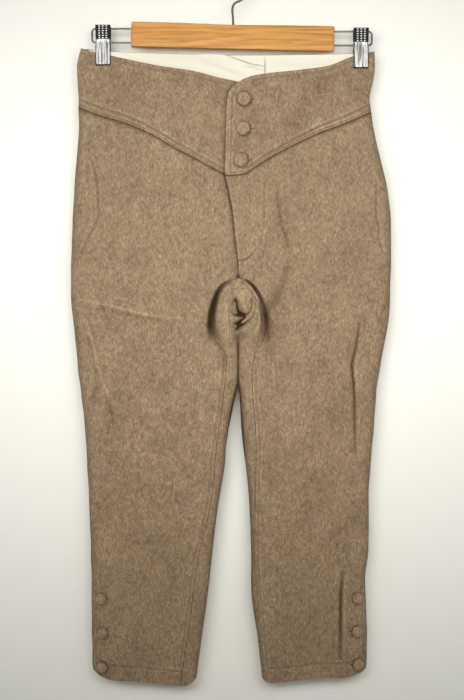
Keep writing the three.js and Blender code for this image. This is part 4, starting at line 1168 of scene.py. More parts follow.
def twill_group():
    """A fine slanting weave with a little slub."""
    inputs = [("Ground", COLOUR, WHITE), ("Rib", COLOUR, WHITE), ("Count", VALUE, 900.0)]

    def build(s, inputs, outputs):
        turned = s.stretch(s.place(), (1, 1, 1), (0, 0.9, 0))
        values = {"Vector": turned, "Scale": inputs["Count"], "Distortion": 0.6, "Detail": 1.0}
        ribs = s.node("ShaderNodeTexWave", values, wave_type="BANDS", bands_direction="X").outputs["Fac"]
        slub = s.noise(s.stretch(s.place(), (0.3, 1, 1)), 260.0)
        tone = s.noise(s.place(), 26.0)
        colour = s.mix(s.math("MULTIPLY", ribs, 0.35), inputs["Ground"], inputs["Rib"])
        colour = s.mix(s.span(tone, 0.35, 0.75, 0.0, 0.3), colour, inputs["Rib"])
        s.put(outputs["Color"], colour)
        s.put(outputs["Height"], s.math("ADD", s.math("MULTIPLY", ribs, 0.5), s.math("MULTIPLY", slub, 0.5)))

    return node_group("Cotton twill", inputs, [("Color", COLOUR), ("Height", VALUE)], build)


def wear_group():
    """Handling marks: cloudy patches and fine scratches."""
    inputs = [("Scale", VALUE, 1.0)]

    def build(s, inputs, outputs):
        cloud = s.noise(s.place(), s.math("MULTIPLY", inputs["Scale"], 90.0), 3.0, 0.6)
        lines = s.noise(s.stretch(s.place(), (1, 1, 0.05)), s.math("MULTIPLY", inputs["Scale"], 900.0))
        s.put(outputs["Cloud"], cloud)
        s.put(outputs["Scratches"], s.span(lines, 0.55, 0.7))

    return node_group("Handling wear", inputs, [("Cloud", VALUE), ("Scratches", VALUE)], build)


def grain_group():
    """Straight wood grain that runs along the bar, with darker late wood and fine pores."""
    inputs = [("Early wood", COLOUR, WHITE), ("Late wood", COLOUR, WHITE)]

    def build(s, inputs, outputs):
        along = s.stretch(s.place(), (0.055, 1.0, 1.0))
        bands = s.noise(along, 150.0, 3.0, 0.55, 1.2)
        pores = s.noise(s.stretch(s.place(), (0.03, 1.0, 1.0)), 1300.0)
        tone = s.noise(s.stretch(s.place(), (0.35, 1, 1)), 26.0)
        late = s.math("MULTIPLY", s.span(bands, 0.42, 0.64), 0.8)
        late = s.math("ADD", late, s.span(tone, 0.4, 0.8, 0, 0.35))
        colour = s.mix(late, inputs["Early wood"], inputs["Late wood"])
        s.put(outputs["Color"], s.mix(s.span(pores, 0.6, 0.75, 0.0, 0.35), colour, inputs["Late wood"]))
        s.put(outputs["Height"], s.math("ADD", bands, s.math("MULTIPLY", pores, 0.5)))

    return node_group("Wood grain", inputs, [("Color", COLOUR), ("Height", VALUE)], build)


def new_material(name, settings, roughness=0.5):
    """A material and its Principled shader, with constant values set on its own sockets."""
    material = bpy.data.materials.get(name)
    if material:
        return material, None, None
    material = bpy.data.materials.new(name)
    material.use_nodes = True
    principled = material.node_tree.nodes["Principled BSDF"]
    principled.inputs["Roughness"].default_value = roughness
    for key, value in settings.items():
        principled.inputs[key].default_value = value
    return material, Shader(material.node_tree), principled.inputs


def wool_material(name="Brushed wool", fineness=1.0, shade=0.0, bump=0.5):
    settings = {"Sheen Weight": 0.02, "Sheen Roughness": 0.45, "Specular IOR Level": 0.06}
    material, s, sockets = new_material(name, settings, 0.92)
    if s:
        colours = palette()
        # Painted shade and painted highlights carried by the points, scaled, plus this material's shade.
        shade = s.math("ADD", s.math("MULTIPLY", s.painted_shading(), 0.62), shade)
        cloth = s.use(melange_group(), {
            "Dark": tinted(colours.wool_dark), "Middle": tinted(colours.wool),
            "Pale": tinted(colours.wool_pale), "Fineness": fineness, "Shade": shade,
        })
        s.put(sockets["Base Color"], cloth["Color"])
        s.put(sockets["Roughness"], s.span(cloth["Height"], 0.3, 0.9, 0.85, 0.98))
        s.put(sockets["Normal"], s.bump(cloth["Height"], bump, 0.0011))
    return material


def thread_material():
    settings = {"Sheen Weight": 0.2, "Specular IOR Level": 0.25}
    material, s, sockets = new_material("Sewing thread", settings, 0.7)
    if s:
        twist = s.noise(s.stretch(s.place(), (1, 1, 1), (0.6, 0.6, 0.6)), 2400.0, 1.0)
        thread = palette().thread
        s.put(sockets["Base Color"], s.mix(twist, tinted(thread, 0.7), tinted(thread)))
        s.put(sockets["Normal"], s.bump(twist, 0.4, 0.0003))
    return material


def facing_material():
    settings = {"Sheen Weight": 0.08, "Specular IOR Level": 0.2}
    material, s, sockets = new_material("Facing cotton", settings, 0.85)
    if s:
        facing = palette().facing
        # A brown painted shade, mixed in where the points carry painted shade.
        rib, painted_fold_shade = tinted(facing, (0.95, 0.93, 0.86)), tinted(facing, (0.45, 0.38, 0.28))
        cloth = s.use(twill_group(), {"Ground": tinted(facing), "Rib": rib, "Count": 700.0})
        s.put(sockets["Base Color"], s.mix(s.painted_shading(), cloth["Color"], painted_fold_shade))
        s.put(sockets["Normal"], s.bump(cloth["Height"], 0.35, 0.0004))
    return material


def wood_material():
    settings = {"Coat Weight": 0.06, "Coat Roughness": 0.3, "Specular IOR Level": 0.2}
    material, s, sockets = new_material("Lacquered wood", settings, 0.42)
    if s:
        early, late = tinted(palette().wood), tinted(palette().wood, (0.66, 0.5, 0.34))
        wood = s.use(grain_group(), {"Early wood": early, "Late wood": late})
        wear = s.use(wear_group(), {"Scale": 1.0})
        s.put(sockets["Base Color"], wood["Color"])
        s.put(sockets["Roughness"], s.span(wear["Cloud"], 0.3, 0.7, 0.48, 0.64))
        s.put(sockets["Normal"], s.bump(wood["Height"], 0.12, 0.0004))
    return material


def metal_material(name, low, high, shade, painted_reflection_streaks=0.0, metallic=0.85):
    """Plating, whose roughness lies between low and high, with dark streaks of painted reflection."""
    material, s, sockets = new_material(name, {"Metallic": metallic}, 0.18)
    if s:
        wear = s.use(wear_group(), {"Scale": 2.0})
        # Clean and dull tones of wear, and a dark tone for the painted reflection streaks.
        clean, dull, dark = (tinted(palette().metal, shade * painted_light_and_wear) for painted_light_and_wear in (1.0, 0.75, 0.12))
        colour = s.mix(s.span(wear["Cloud"], 0.4, 0.7), clean, dull)
        # Dark streaks of painted reflection down the plating.
        streaks = s.noise(s.stretch(s.place(), (1.0, 0.1, 0.05)), 640.0, 1.0)
        colour = s.mix(s.math("MULTIPLY", s.span(streaks, 0.5, 0.6), painted_reflection_streaks), colour, dark)
        s.put(sockets["Base Color"], colour)
        cloud = s.span(wear["Cloud"], 0.3, 0.7, low, high)
        s.put(sockets["Roughness"], s.math("ADD", cloud, s.math("MULTIPLY", wear["Scratches"], 0.08)))
        s.put(sockets["Normal"], s.bump(wear["Scratches"], 0.08, 0.0002))
    return material


# The studs' tops are painted near white: a painted highlight on each stud.
PAINTED_STUD_HIGHLIGHT = (0.9, 0.9, 0.88)


def grip_material(name="Black grip", painted_light_and_wear=False):
    material, s, sockets = new_material(name, {"Specular IOR Level": 0.5 if painted_light_and_wear else 0.06}, 0.5)
    if s:
        # For the studs, the base colour is a painted highlight.
        base = PAINTED_STUD_HIGHLIGHT if painted_light_and_wear else tuple(palette().grip)
        wear = s.use(wear_group(), {"Scale": 4.0})
        rubbed = [min(1.0, value * 1.6 + 0.02) for value in base]
        s.put(sockets["Base Color"], s.mix(s.span(wear["Cloud"], 0.35, 0.75), tinted(base), tinted(rubbed)))
        s.put(sockets["Roughness"], s.span(wear["Cloud"], 0.3, 0.7, 0.35, 0.6))
        s.put(sockets["Normal"], s.bump(wear["Cloud"], 0.2, 0.0003))
    return material


# Stitching.
# A stitch is left out where it would be very short or would jump off an edge, in millimetres.
SHORTEST_STITCH = 0.2
LARGEST_JUMP = 2.5
BUTTONHOLE_STITCH_STEP = 0.75
BUTTONHOLE_LIP = (0.7, 2.3)


def resample(points, step, start=0.0):
    """Places a step apart along a line of points."""
    points = np.asarray(points, dtype=float)
    lengths = np.hypot(*np.diff(points, axis=0).T)
    travelled = np.concatenate([[0], np.cumsum(lengths)])
    at = np.arange(start, travelled[-1], step)
    return np.column_stack([np.interp(at, travelled, points[:, i]) for i in (0, 1)])


def tree_of(obj):
    """What rays are cast at: a piece's faces as they lie."""
    mesh = obj.data
    count = len(mesh.vertices)
    points = np.empty(count * 3)
    mesh.vertices.foreach_get("co", points)
    faces = [tuple(polygon.vertices) for polygon in mesh.polygons]
    return BVHTree.FromPolygons(points.reshape(-1, 3).tolist(), faces)


RAY_START_Y, RAY_LENGTH = -0.12, 0.3


def on_front(tree, x, z):
    """The place and normal, in millimetres, where a piece shows at x and z seen from the front."""
    start = Vector((x * MM, RAY_START_Y, z * MM))
    place, normal, _, _ = tree.ray_cast(start, Vector((0, 1, 0)), RAY_LENGTH)
    if place is None:
        return None, None
    if normal.y > 0:
        normal = -normal
    return np.array(place) / MM, np.array(normal)


STITCH_RINGS = [(-1.0, 0.35), (-0.55, 0.95), (0.55, 0.95), (1.0, 0.35)]
STITCH_SIDES = 5
STITCH_FACES = ring_faces(len(STITCH_RINGS), STITCH_SIDES) + end_faces(len(STITCH_RINGS), STITCH_SIDES)


def one_stitch(start, end, normal, thickness):
    """A short thread from start to end that dips at both, or nothing where they all but meet."""
    along = end - start
    length = np.linalg.norm(along)
    if length < SHORTEST_STITCH:
        return None
    along = along / length
    side = np.cross(along, normal)
    middle = (start + end) / 2 + normal * thickness * 0.25
    turns = np.linspace(0, 2 * np.pi, STITCH_SIDES, endpoint=False)
    points = []
    for share, fat in STITCH_RINGS:
        centre = middle + along * share * length / 2 - normal * thickness * 0.45 * abs(share) ** 3
        ring = np.outer(np.cos(turns), normal) * 0.7 + np.outer(np.sin(turns), side)
        points.append(centre + ring * thickness / 2 * fat)
    return np.concatenate(points), STITCH_FACES


def stitches_along(tree, line, sizes, tight=1.0):
    """Stitches down a line, each laid on the cloth that it is sewn to."""
    step, length = sizes.stitch_step / MM * tight, sizes.stitch_length / MM * tight
    thickness = sizes.thread / MM
    places = resample(line, step, step / 2)
    shapes = []
    for i, place in enumerate(places):
        ahead = places[min(i + 1, len(places) - 1)] - places[max(i - 1, 0)]
        ahead = ahead / max(np.hypot(*ahead), 1e-6)
        start, normal = on_front(tree, *(place - ahead * length / 2))
        end, _ = on_front(tree, *(place + ahead * length / 2))
        if start is not None and end is not None and abs(start[1] - end[1]) <= LARGEST_JUMP:
            shapes.append(one_stitch(start, end, normal, thickness))
    return [shape for shape in shapes if shape]


def buttonhole_stitches(tree, hole, sizes):
    """The worked edge of a buttonhole: short stitches set side by side round its slit."""
    x0, z, x1 = hole
    shapes = []
    thickness = sizes.thread / MM * 0.8
    for x in np.arange(min(x0, x1), max(x0, x1) + 0.1, BUTTONHOLE_STITCH_STEP):
        for up in (-1, 1):
            start, normal = on_front(tree, x, z + up * BUTTONHOLE_LIP[0])
            end, _ = on_front(tree, x, z + up * BUTTONHOLE_LIP[1])
            if start is not None and end is not None:
                shapes.append(one_stitch(start, end, normal, thickness))
    return [shape for shape in shapes if shape]


CLOTH = {}


def cloth_piece(name, walls, material, slot, node):
    """A cloth piece of one or more walls, each given as its outside, its inside and its shade."""
    shapes, shades = [], []
    for outside, inside, shade in walls:
        shapes.append(closed_wall(outside, inside))
        shades.append(spread_shade(shade))
    obj = make_object(name, *join_shapes(shapes), [material], sharp=60)
    mark(obj, np.concatenate(shades))
    finish_piece(obj, slot, node)
    CLOTH[node] = obj


def measure(name, description, default, least, most):
    return FloatProperty(
        name=name, description=description, default=default, min=least, max=most, unit="LENGTH", precision=4)


class TrousersSizes(bpy.types.PropertyGroup):
    wool_wall: measure("Wool", "Thickness of the wool cloth", 0.002, 0.001, 0.003)
    stitch_step: measure("Stitch step", "From the start of one stitch to the next", 0.0033, 0.002, 0.006)
    stitch_length: measure(
        "Stitch length", "Length of the thread that shows in each stitch", 0.0026, 0.001, 0.005)
    thread: measure("Thread", "Thickness of the sewing thread", 0.0009, 0.0003, 0.0015)
    wall_distance: measure("Backdrop", "Distance from the hanger to the backdrop", 0.06, 0.03, 1.0)
    camera_distance: measure("Camera", "Distance from the camera to the garment", 2.314, 1.0, 6.0)


def tint(name, description, default):
    return FloatVectorProperty(
        name=name, description=description, default=default, size=3, min=0.0, max=1.0, subtype="COLOR")


class TrousersColours(bpy.types.PropertyGroup):
    wool: tint("Wool", "Main colour of the wool", (0.298, 0.214, 0.132))
    wool_dark: tint("Dark fibres", "The darkest fibres of the wool", (0.15, 0.105, 0.063))
    wool_pale: tint("Pale fibres", "The palest fibres of the wool", (0.485, 0.372, 0.254))
    thread: tint("Thread", "Colour of the topstitching", (0.33, 0.255, 0.17))
    facing: tint("Facing", "Colour of the cotton inside the waist", (0.76, 0.745, 0.64))
    wood: tint("Wood", "Colour of the hanger's bar", (0.6, 0.305, 0.075))
    metal: tint("Metal", "Colour of the plated wire and clips", (0.9, 0.9, 0.89))
    grip: tint("Grip", "Colour of the clips' grips", (0.012, 0.012, 0.013))
    backdrop: tint("Backdrop", "Colour of the wall and floor", (0.865, 0.865, 0.815))


def wool_panels(part, grid_of, context, more_walls=()):
    """Both halves of a part of the trousers, and what the left half has besides its own wall."""
    wall = context.scene.trousers_sizes.wool_wall / MM
    for side in SIDES:
        outside = grid_of(side, 0.0)
        walls = [(outside, grid_of(side, wall), shade_of(side, outside))]
        if side == "left":
            walls += more_walls
        cloth_piece(f"wool_{part}_{side}", walls, wool_material(), "wool", f"{part}_{side}")
    return {"FINISHED"}


class TROUSERS_OT_backs(bpy.types.Operator):
    """Make the two back pieces, which wrap round the inner legs to the inseams"""
    bl_idname = "trousers.backs"
    bl_label = "Back pieces"
    bl_options = {"REGISTER", "UNDO"}

    def execute(self, context):
        return wool_panels("back", back_grid, context, [seat_fold()])


class TROUSERS_OT_fronts(bpy.types.Operator):
    """Make the two front pieces under the yoke, with the fly's overlap"""
    bl_idname = "trousers.fronts"
    bl_label = "Front pieces"
    bl_options = {"REGISTER", "UNDO"}

    def execute(self, context):
        return wool_panels("front", front_grid, context)


class TROUSERS_OT_yokes(bpy.types.Operator):
    """Make the two halves of the V-shaped front yoke"""
    bl_idname = "trousers.yokes"
    bl_label = "Yoke"
    bl_options = {"REGISTER", "UNDO"}

    def execute(self, context):
        return wool_panels("yoke", yoke_grid, context)


# The pale facing: rows of place across and height of its top edge, and its lap at the centre back.
FACING_TOP = {
    "right": [(-219, -114), (-170, -118), (-60, -121), (-13, -121.5), (10, -129), (27, -135.5), (46, -138)],
    "left": [(-24, -122), (60, -122), (170, -121), (199, -119)],
}
FACING_ENDS = {"right": (-203, 46), "left": (183, -24)}
FACING_LAYER = {"right": 1, "left": 0}
FACING_CLEARANCE, FACING_LAP_GAP = 0.4, 0.3
FACING_COLUMNS = 160
FACING_ROWS = 44
FACING_CREASES = [
    ([(-150, -128), (-110, -136), (-60, -141)], 0.7, 5), ([(-40, -130), (-10, -140), (20, -152)], 0.9, 4.5),
    ([(-70, -146), (-30, -150), (4, -160)], 0.7, 5), ([(60, -132), (100, -136), (140, -131)], 0.5, 5),
    ([(15, -136.7), (30, -140), (43, -143.7)], 0.8, 2.2), ([(-90, -126), (-60, -134), (-40, -146)], -0.6, 6),
]
# Painted shade in the facing's folds and at its lap's edge.
FACING_SHADE = [
    ([(-13, -121), (8, -128.5), (26, -134.5), (44, -137.5)], 1.0, 1.0),
    ([(15, -136.7), (30, -140), (43, -144)], 0.5, 0.9),
    ([(44.6, -126), (44.6, -152)], 1.1, 0.8),
    ([(-150, -129), (-110, -137), (-60, -142)], 0.16, 4), ([(-45, -131), (-12, -141), (16, -152)], 0.22, 3),
    ([(-70, -147), (-30, -151), (4, -160)], 0.16, 4), ([(60, -133), (100, -137), (140, -132)], 0.1, 4),
    ([(-120, -124), (-60, -127), (0, -132)], 0.1, 5),
]


class TROUSERS_OT_facings(bpy.types.Operator):
    """Make the pale facing inside the back waist, in two halves that lap at the centre back"""
    bl_idname = "trousers.facings"
    bl_label = "Waist facing"
    bl_options = {"REGISTER", "UNDO"}

    def execute(self, context):
        sizes = context.scene.trousers_sizes
        under = sizes.wool_wall / MM + FACING_CLEARANCE
        for side in SIDES:
            first, last = FACING_ENDS[side]
            x = np.repeat(np.linspace(first, last, FACING_COLUMNS)[None], FACING_ROWS, axis=0)
            down = np.linspace(0, FACING_DEPTH, FACING_ROWS)[:, None]
            z = SmoothLine(FACING_TOP[side])(x) - down
            lifted = FACING_LAYER[side] * (FACING_WALL + FACING_LAP_GAP) * smooth((x + 40) / 14)
            grids = []
            for inset in (under, under + FACING_WALL):
                y = half_depth(BACK, x, z) - inset - lifted + HALF_GAP
                y = y - 0.35 * np.sin(x / 17 + z / 9) * smooth(down / 20) - fold_relief(FACING_CREASES, x, z)
                grids.append(np.stack([x, y, z], axis=-1))
            # The facing shows its inner side, so that side carries the shade.
            walls = [(grids[1], grids[0], fold_relief(FACING_SHADE, x, z))]
            cloth_piece(f"facing_back_{side}", walls, facing_material(), "facing", f"facing_{side}")
        return {"FINISHED"}


# A covered button's side: share of its radius out, then share of its radius up.
BUTTON_SIDE = [
    (0.0, 0.0), (0.5, 0.0), (0.8, 0.01), (0.92, 0.05), (0.985, 0.12), (1.0, 0.2), (0.985, 0.28),
    (0.94, 0.36), (0.86, 0.42), (0.72, 0.475), (0.55, 0.515), (0.35, 0.545), (0.16, 0.557), (0.0, 0.56),
]
BUTTON_SIDES = 48
BUTTON_CLEARANCE = 0.35


def button_shape(radius, seed):
    """Points and faces of a cloth-covered button that faces -Y, with its gathers under the rim."""
    turns = np.linspace(0, 2 * np.pi, BUTTON_SIDES, endpoint=False)
    points = [[0.0, 0.0, 0.0]]
    inner_rings = BUTTON_SIDE[1:-1]
    for share, up in inner_rings:
        gathers = 0.02 * np.sin(turns * 16 + seed) * bell(up - 0.1, 0.12)
        wobble = 0.012 * np.sin(turns * 3 + seed * 2.1) + 0.01 * np.sin(turns * 5 + seed)
        r = radius * share * (1 + gathers + wobble)
        ring = [r * np.cos(turns), np.full(BUTTON_SIDES, -radius * up), r * np.sin(turns)]
        points += np.column_stack(ring).tolist()
    points.append([0.0, -radius * BUTTON_SIDE[-1][1], 0.0])
    faces = ring_faces(len(inner_rings), BUTTON_SIDES, 1)
    last = 1 + (len(inner_rings) - 1) * BUTTON_SIDES
    for j in range(BUTTON_SIDES):
        k = (j + 1) % BUTTON_SIDES
        faces += [(0, 1 + j, 1 + k), (last + j, len(points) - 1, last + k)]
    return np.array(points), faces


class TROUSERS_OT_buttons(bpy.types.Operator):
    """Make the cloth-covered buttons at the waist and the cuffs"""
    bl_idname = "trousers.buttons"
    bl_label = "Covered buttons"
    bl_options = {"REGISTER", "UNDO"}

    def execute(self, context):
        rows = [(f"button_waist_{i + 1}", x, z, WAIST_BUTTON, "yoke_left")
                for i, (x, z) in enumerate(WAIST_BUTTONS)]
        for side in SIDES:
            rows += [(f"button_cuff_{side}_{i + 1}", x, z, CUFF_BUTTON, f"front_{side}")
                     for i, (x, z) in enumerate(CUFF_BUTTONS[side])]
        trees = {}
        material = wool_material("Button wool", 1.25, -0.16, 0.4)
        for count, (node, x, z, size, cloth) in enumerate(rows):
            if cloth not in trees:
                trees[cloth] = tree_of(CLOTH[cloth])
            points, faces = button_shape(size / 2, 0.7 + 1.3 * count)
            seats = [on_front(trees[cloth], x, z + lean)[0][1] for lean in (-size / 2, 0.0, size / 2)]
            lean = math.atan2(seats[2] - seats[0], size)
            turn = np.array(Matrix.Rotation(lean, 3, "X").transposed())
            points = points @ turn.T
            points += [x, min(seats) - BUTTON_CLEARANCE, z]
            obj = make_object(f"covered_{node}", points, faces, [material], sharp=70)
            # Painted light on each button's dome: painted shade towards its foot and its buttonhole's side, a
            # painted highlight on the opposite upper side, strongest towards the rim.
            across = (points[:, 0] - x) / (size / 2) * (-1 if "_left_" in node else 1)
            up = (points[:, 2] - z) / (size / 2)
            mark(obj, 0.42 * (0.75 * across - 0.65 * up) * np.hypot(across, up) ** 2)
            finish_piece(obj, "wool", node)
        return {"FINISHED"}


class TROUSERS_OT_stitching(bpy.types.Operator):
    """Sew the topstitching, the tacks and the worked buttonholes"""
    bl_idname = "trousers.stitching"
    bl_label = "Stitching"
    bl_options = {"REGISTER", "UNDO"}

    def execute(self, context):
        sizes = context.scene.trousers_sizes
        sewn_nodes = ("yoke_right", "yoke_left", "front_right", "front_left")
        trees = {node: tree_of(CLOTH[node]) for node in sewn_nodes}
        shapes = {node: [] for node in trees}
        for points, _, _, node in SEWN:
            shapes[node] += stitches_along(trees[node], points, sizes)
        for points in TACKS:
            node = "front_right" if points[0][0] < 0 else "front_left"
            shapes[node] += stitches_along(trees[node], points, sizes, 0.6)
        shapes["yoke_left"] += stitches_along(trees["yoke_left"], OVERLAP_BOX + OVERLAP_BOX[:1], sizes, 0.8)
        for hole in buttonholes():
            node = "yoke_left" if hole[1] > FRONT_TOP_Z else ("front_right" if hole[0] < 0 else "front_left")
            shapes[node] += buttonhole_stitches(trees[node], hole, sizes)
        for node, rows in shapes.items():
            points, faces = join_shapes(rows)
            obj = make_object(f"stitches_{node}", points, faces, [thread_material()], sharp=80)
            finish_piece(obj, "wool")
        return {"FINISHED"}


BAR = {"length": 284, "height": 35, "thickness": 12, "x": -0.7, "z": -97.4, "tilt": 1.33, "corner": 2.2}
BAR_STATIONS = 90
BAR_CORNER_STEPS = 5


def bar_shape():
    """Points and faces of the wooden bar: rounded long edges, softened ends, a slight dip on top."""
    half_x, half_z, half_y = BAR["length"] / 2, BAR["height"] / 2, BAR["thickness"] / 2
    corner = BAR["corner"]
    section = []
    for quarter in range(4):
        cy = (half_y - corner) * (1 if quarter in (0, 3) else -1)
        cz = (half_z - corner) * (1 if quarter in (0, 1) else -1)
        for step in range(BAR_CORNER_STEPS + 1):
            turn = math.pi / 2 * (quarter + step / BAR_CORNER_STEPS)
            section.append((cy + corner * math.cos(turn), cz + corner * math.sin(turn)))
    section = np.array(section)
    ends = corner * (1 - np.cos(np.linspace(0, math.pi / 2, 5)))[:-1]
    straight = np.linspace(-half_x + corner, half_x - corner, BAR_STATIONS)
    xs = np.concatenate([-half_x + ends, straight, half_x - ends[::-1]])
    points = []
    for x in xs:
        inset = max(0.0, abs(x) - (half_x - corner))
        shrink = corner - math.sqrt(max(0.0, corner ** 2 - inset ** 2))
        y = section[:, 0] * (half_y - shrink) / half_y
        z = section[:, 1] * (half_z - shrink) / half_z
        dip = 1.3 * bell(x - 6, 55) * np.clip(z / half_z, 0, 1) ** 3
        points.append(np.column_stack([np.full(len(section), x), y, z - dip]))
    points = np.concatenate(points)
    faces = ring_faces(len(xs), len(section)) + end_faces(len(xs), len(section))
    tilt = math.radians(BAR["tilt"])
    x, z = points[:, 0].copy(), points[:, 2].copy()
    points[:, 0] = x * math.cos(tilt) + z * math.sin(tilt) + BAR["x"]
    points[:, 2] = z * math.cos(tilt) - x * math.sin(tilt) + BAR["z"]
    return points, faces


class TROUSERS_OT_bar(bpy.types.Operator):
    """Make the hanger's wooden bar"""
    bl_idname = "trousers.bar"
    bl_label = "Hanger bar"
    bl_options = {"REGISTER", "UNDO"}

    def execute(self, context):
        points, faces = bar_shape()
        obj = make_object("wood_hanger_bar", points, faces, [wood_material()], sharp=45)
        finish_piece(obj, "wood", "hanger_bar")
        return {"FINISHED"}


HOOK_WIRE = 3
HOOK_RADIUS = 25
RAIL_WIRE = 2.5
RAIL_SPACING = 19.5
RAIL_BELOW_CLIP_TOP = 4.2
RAIL_END_PAST_CLIP = 15.5
RAIL_CORNER = 5
RAIL_CORNER_STEPS = 8
SPRING_WIRE = 1
SPRING_RADIUS = 2.45
SPRING_LENGTH = 12
SPRING_TURNS = 5.5


def smooth_path(points, steps):
    """A path that passes smoothly through its points."""
    points = np.asarray(points, dtype=float)
    padded = np.vstack([2 * points[0] - points[1], points, 2 * points[-1] - points[-2]])
    path = []
    for i in range(len(points) - 1):
        a, b, c, d = padded[i:i + 4]
        square, cube = 2 * a - 5 * b + 4 * c - d, 3 * b - a - 3 * c + d
        for t in np.linspace(0, 1, steps, endpoint=False):
            path.append(0.5 * (2 * b + (c - a) * t + square * t * t + cube * t ** 3))
    return np.array(path + [points[-1]])


def hook_path():
    """The shank out of the bar, then the round hook, open to one side."""
    centre_z = HOOK_WIRE / 2 - HOOK_RADIUS
    tilt = math.radians(BAR["tilt"])
    bar_top = BAR["z"] + BAR["x"] * math.tan(tilt) + BAR["height"] / 2 / math.cos(tilt)
    shank = [(0, 0, bar_top - 0.9), (-0.6, 0, -68), (-1.2, 0, -58), (2, 0, -50.5)]
    turns = [-66, -45, -20, 5, 30, 55, 80, 105, 130, 155, 180, 200]
    circle = [(HOOK_RADIUS * math.cos(math.radians(t)), 0, centre_z + HOOK_RADIUS * math.sin(math.radians(t)))
              for t in turns]
    return smooth_path(shank + circle, 8)


def rail_path(side):
    """Out of the bar's end along the top, round two corners and back along the bottom."""
    out = OUTWARD[side]
    bar_end = BAR["x"] + out * (BAR["length"] / 2 - 0.2)
    centre_x = CLIP_X[side] + out * (RAIL_END_PAST_CLIP - RAIL_CORNER)
    top = CLIP_TOP_Z[side] - RAIL_BELOW_CLIP_TOP
    bottom = top - RAIL_SPACING
    path = [(x, 0, top) for x in np.linspace(bar_end, centre_x, 12)]
    for centre_z, first in ((top - RAIL_CORNER, 90), (bottom + RAIL_CORNER, 0)):
        for turn in np.radians(first - np.linspace(0, 90, RAIL_CORNER_STEPS + 1)[1:]):
            across, up = RAIL_CORNER * math.cos(turn), RAIL_CORNER * math.sin(turn)
            path.append((centre_x + out * across, 0, centre_z + up))
    return path + [(x, 0, bottom) for x in np.linspace(centre_x, bar_end, 12)[1:]]


def spring_path(side):
    """A coil round the lower rail."""
    centre_z = CLIP_TOP_Z[side] - RAIL_BELOW_CLIP_TOP - RAIL_SPACING
    t = np.linspace(0, 1, 110)
    turn = 2 * math.pi * SPRING_TURNS * t
    x = CLIP_X[side] + SPRING_LENGTH * (t - 0.5)
    return np.column_stack([x, SPRING_RADIUS * np.cos(turn), centre_z + SPRING_RADIUS * np.sin(turn)])


class TROUSERS_OT_wires(bpy.types.Operator):
    """Make the hook, the two rails that carry the clips, and the clips' springs"""
    bl_idname = "trousers.wires"
    bl_label = "Hook, rails and springs"
    bl_options = {"REGISTER", "UNDO"}

    def execute(self, context):
        rows = [("hanger_hook", hook_path(), HOOK_WIRE / 2, 16)]
        for side in SIDES:
            rows.append((f"hanger_rail_{side}", rail_path(side), RAIL_WIRE / 2, 12))
            rows.append((f"clip_spring_{side}", spring_path(side), SPRING_WIRE / 2, 8))
        wire = metal_material("Drawn wire", 0.25, 0.4, 0.13)
        for node, path, radius, sides in rows:
            obj = make_object(f"plated_{node}", *tube(path, radius, sides), [wire])
            finish_piece(obj, "metal", node)
        return {"FINISHED"}


CLIP_WIDTH = 21
CLIP_HEIGHT = 57.5
CLIP_PLATE = 0.9
GRIP_HEIGHT = 19.5
PLATE_OFFSETS = [(0, 7.6), (19, 4.6), (24, 3.8), (38, 3.8), (46, 0.8), (57.5, 0.8)]
PLATE_LIP = 1.6
PLATE_LIP_DOWN_TO = 19
PLATE_COLUMNS = 36
PLATE_ROWS = 70
# Where the plate takes painted shade: beside the grip, at its sides and over its teeth.
PLATE_BESIDE_GRIP, PLATE_SIDE, PLATE_TEETH = 6.8, 9, 3
RIB_HEIGHT, RIBS = 0.3, 3.5
TOOTH = 2.0
TEETH = 5


def plate_offset(side, face, down):
    """How far a plate's inside lies from the middle plane, at a depth below the clip's top."""
    cloth = float(half_depth(face, CLIP_X[side], float(CLIP_BITE_Z))) + HALF_GAP
    downs = [row[0] for row in PLATE_OFFSETS]
    offs = [row[1] + (cloth if row[1] < 1 else 0) for row in PLATE_OFFSETS]
    return np.interp(down, downs, offs)


def plate_grid(side, face, inset):
    """A plate's points: turned-in lips above, ribs below the grip and teeth at the foot."""
    lips = 4
    across = np.concatenate([np.full(lips, -1.0), np.linspace(-1, 1, PLATE_COLUMNS), np.full(lips, 1.0)])
    inward = np.concatenate([np.linspace(1, 0, lips, endpoint=False), np.zeros(PLATE_COLUMNS),
                             np.linspace(0, 1, lips + 1)[1:]])
    down = np.linspace(0, CLIP_HEIGHT, PLATE_ROWS)[:, None]
    lip = mix(PLATE_LIP, 0.2, smooth((down - PLATE_LIP_DOWN_TO) / 3))
    edge = np.abs(across) > 0.999
    sideways = across * (CLIP_WIDTH / 2 - np.where(edge, inset, 0.0))
    ribs = RIB_HEIGHT * np.cos(across * np.pi * RIBS) * smooth((down - 20) / 4) * smooth((55 - down) / 5)
    ribs = ribs * (1 - np.abs(across) ** 6)
    waist = 1 - 0.06 * bell(down - 22, 6)
    teeth = TOOTH * (0.5 - 0.5 * np.cos(across * np.pi * TEETH)) * smooth((down - CLIP_HEIGHT + 4) / 4)
    away = plate_offset(side, face, down) + CLIP_PLATE - inset - inward * (CLIP_PLATE + lip - inset) + ribs
    x = CLIP_X[side] + sideways * waist
    z = CLIP_TOP_Z[side] - down + teeth
    return np.stack(np.broadcast_arrays(x, face * away, z), axis=-1)


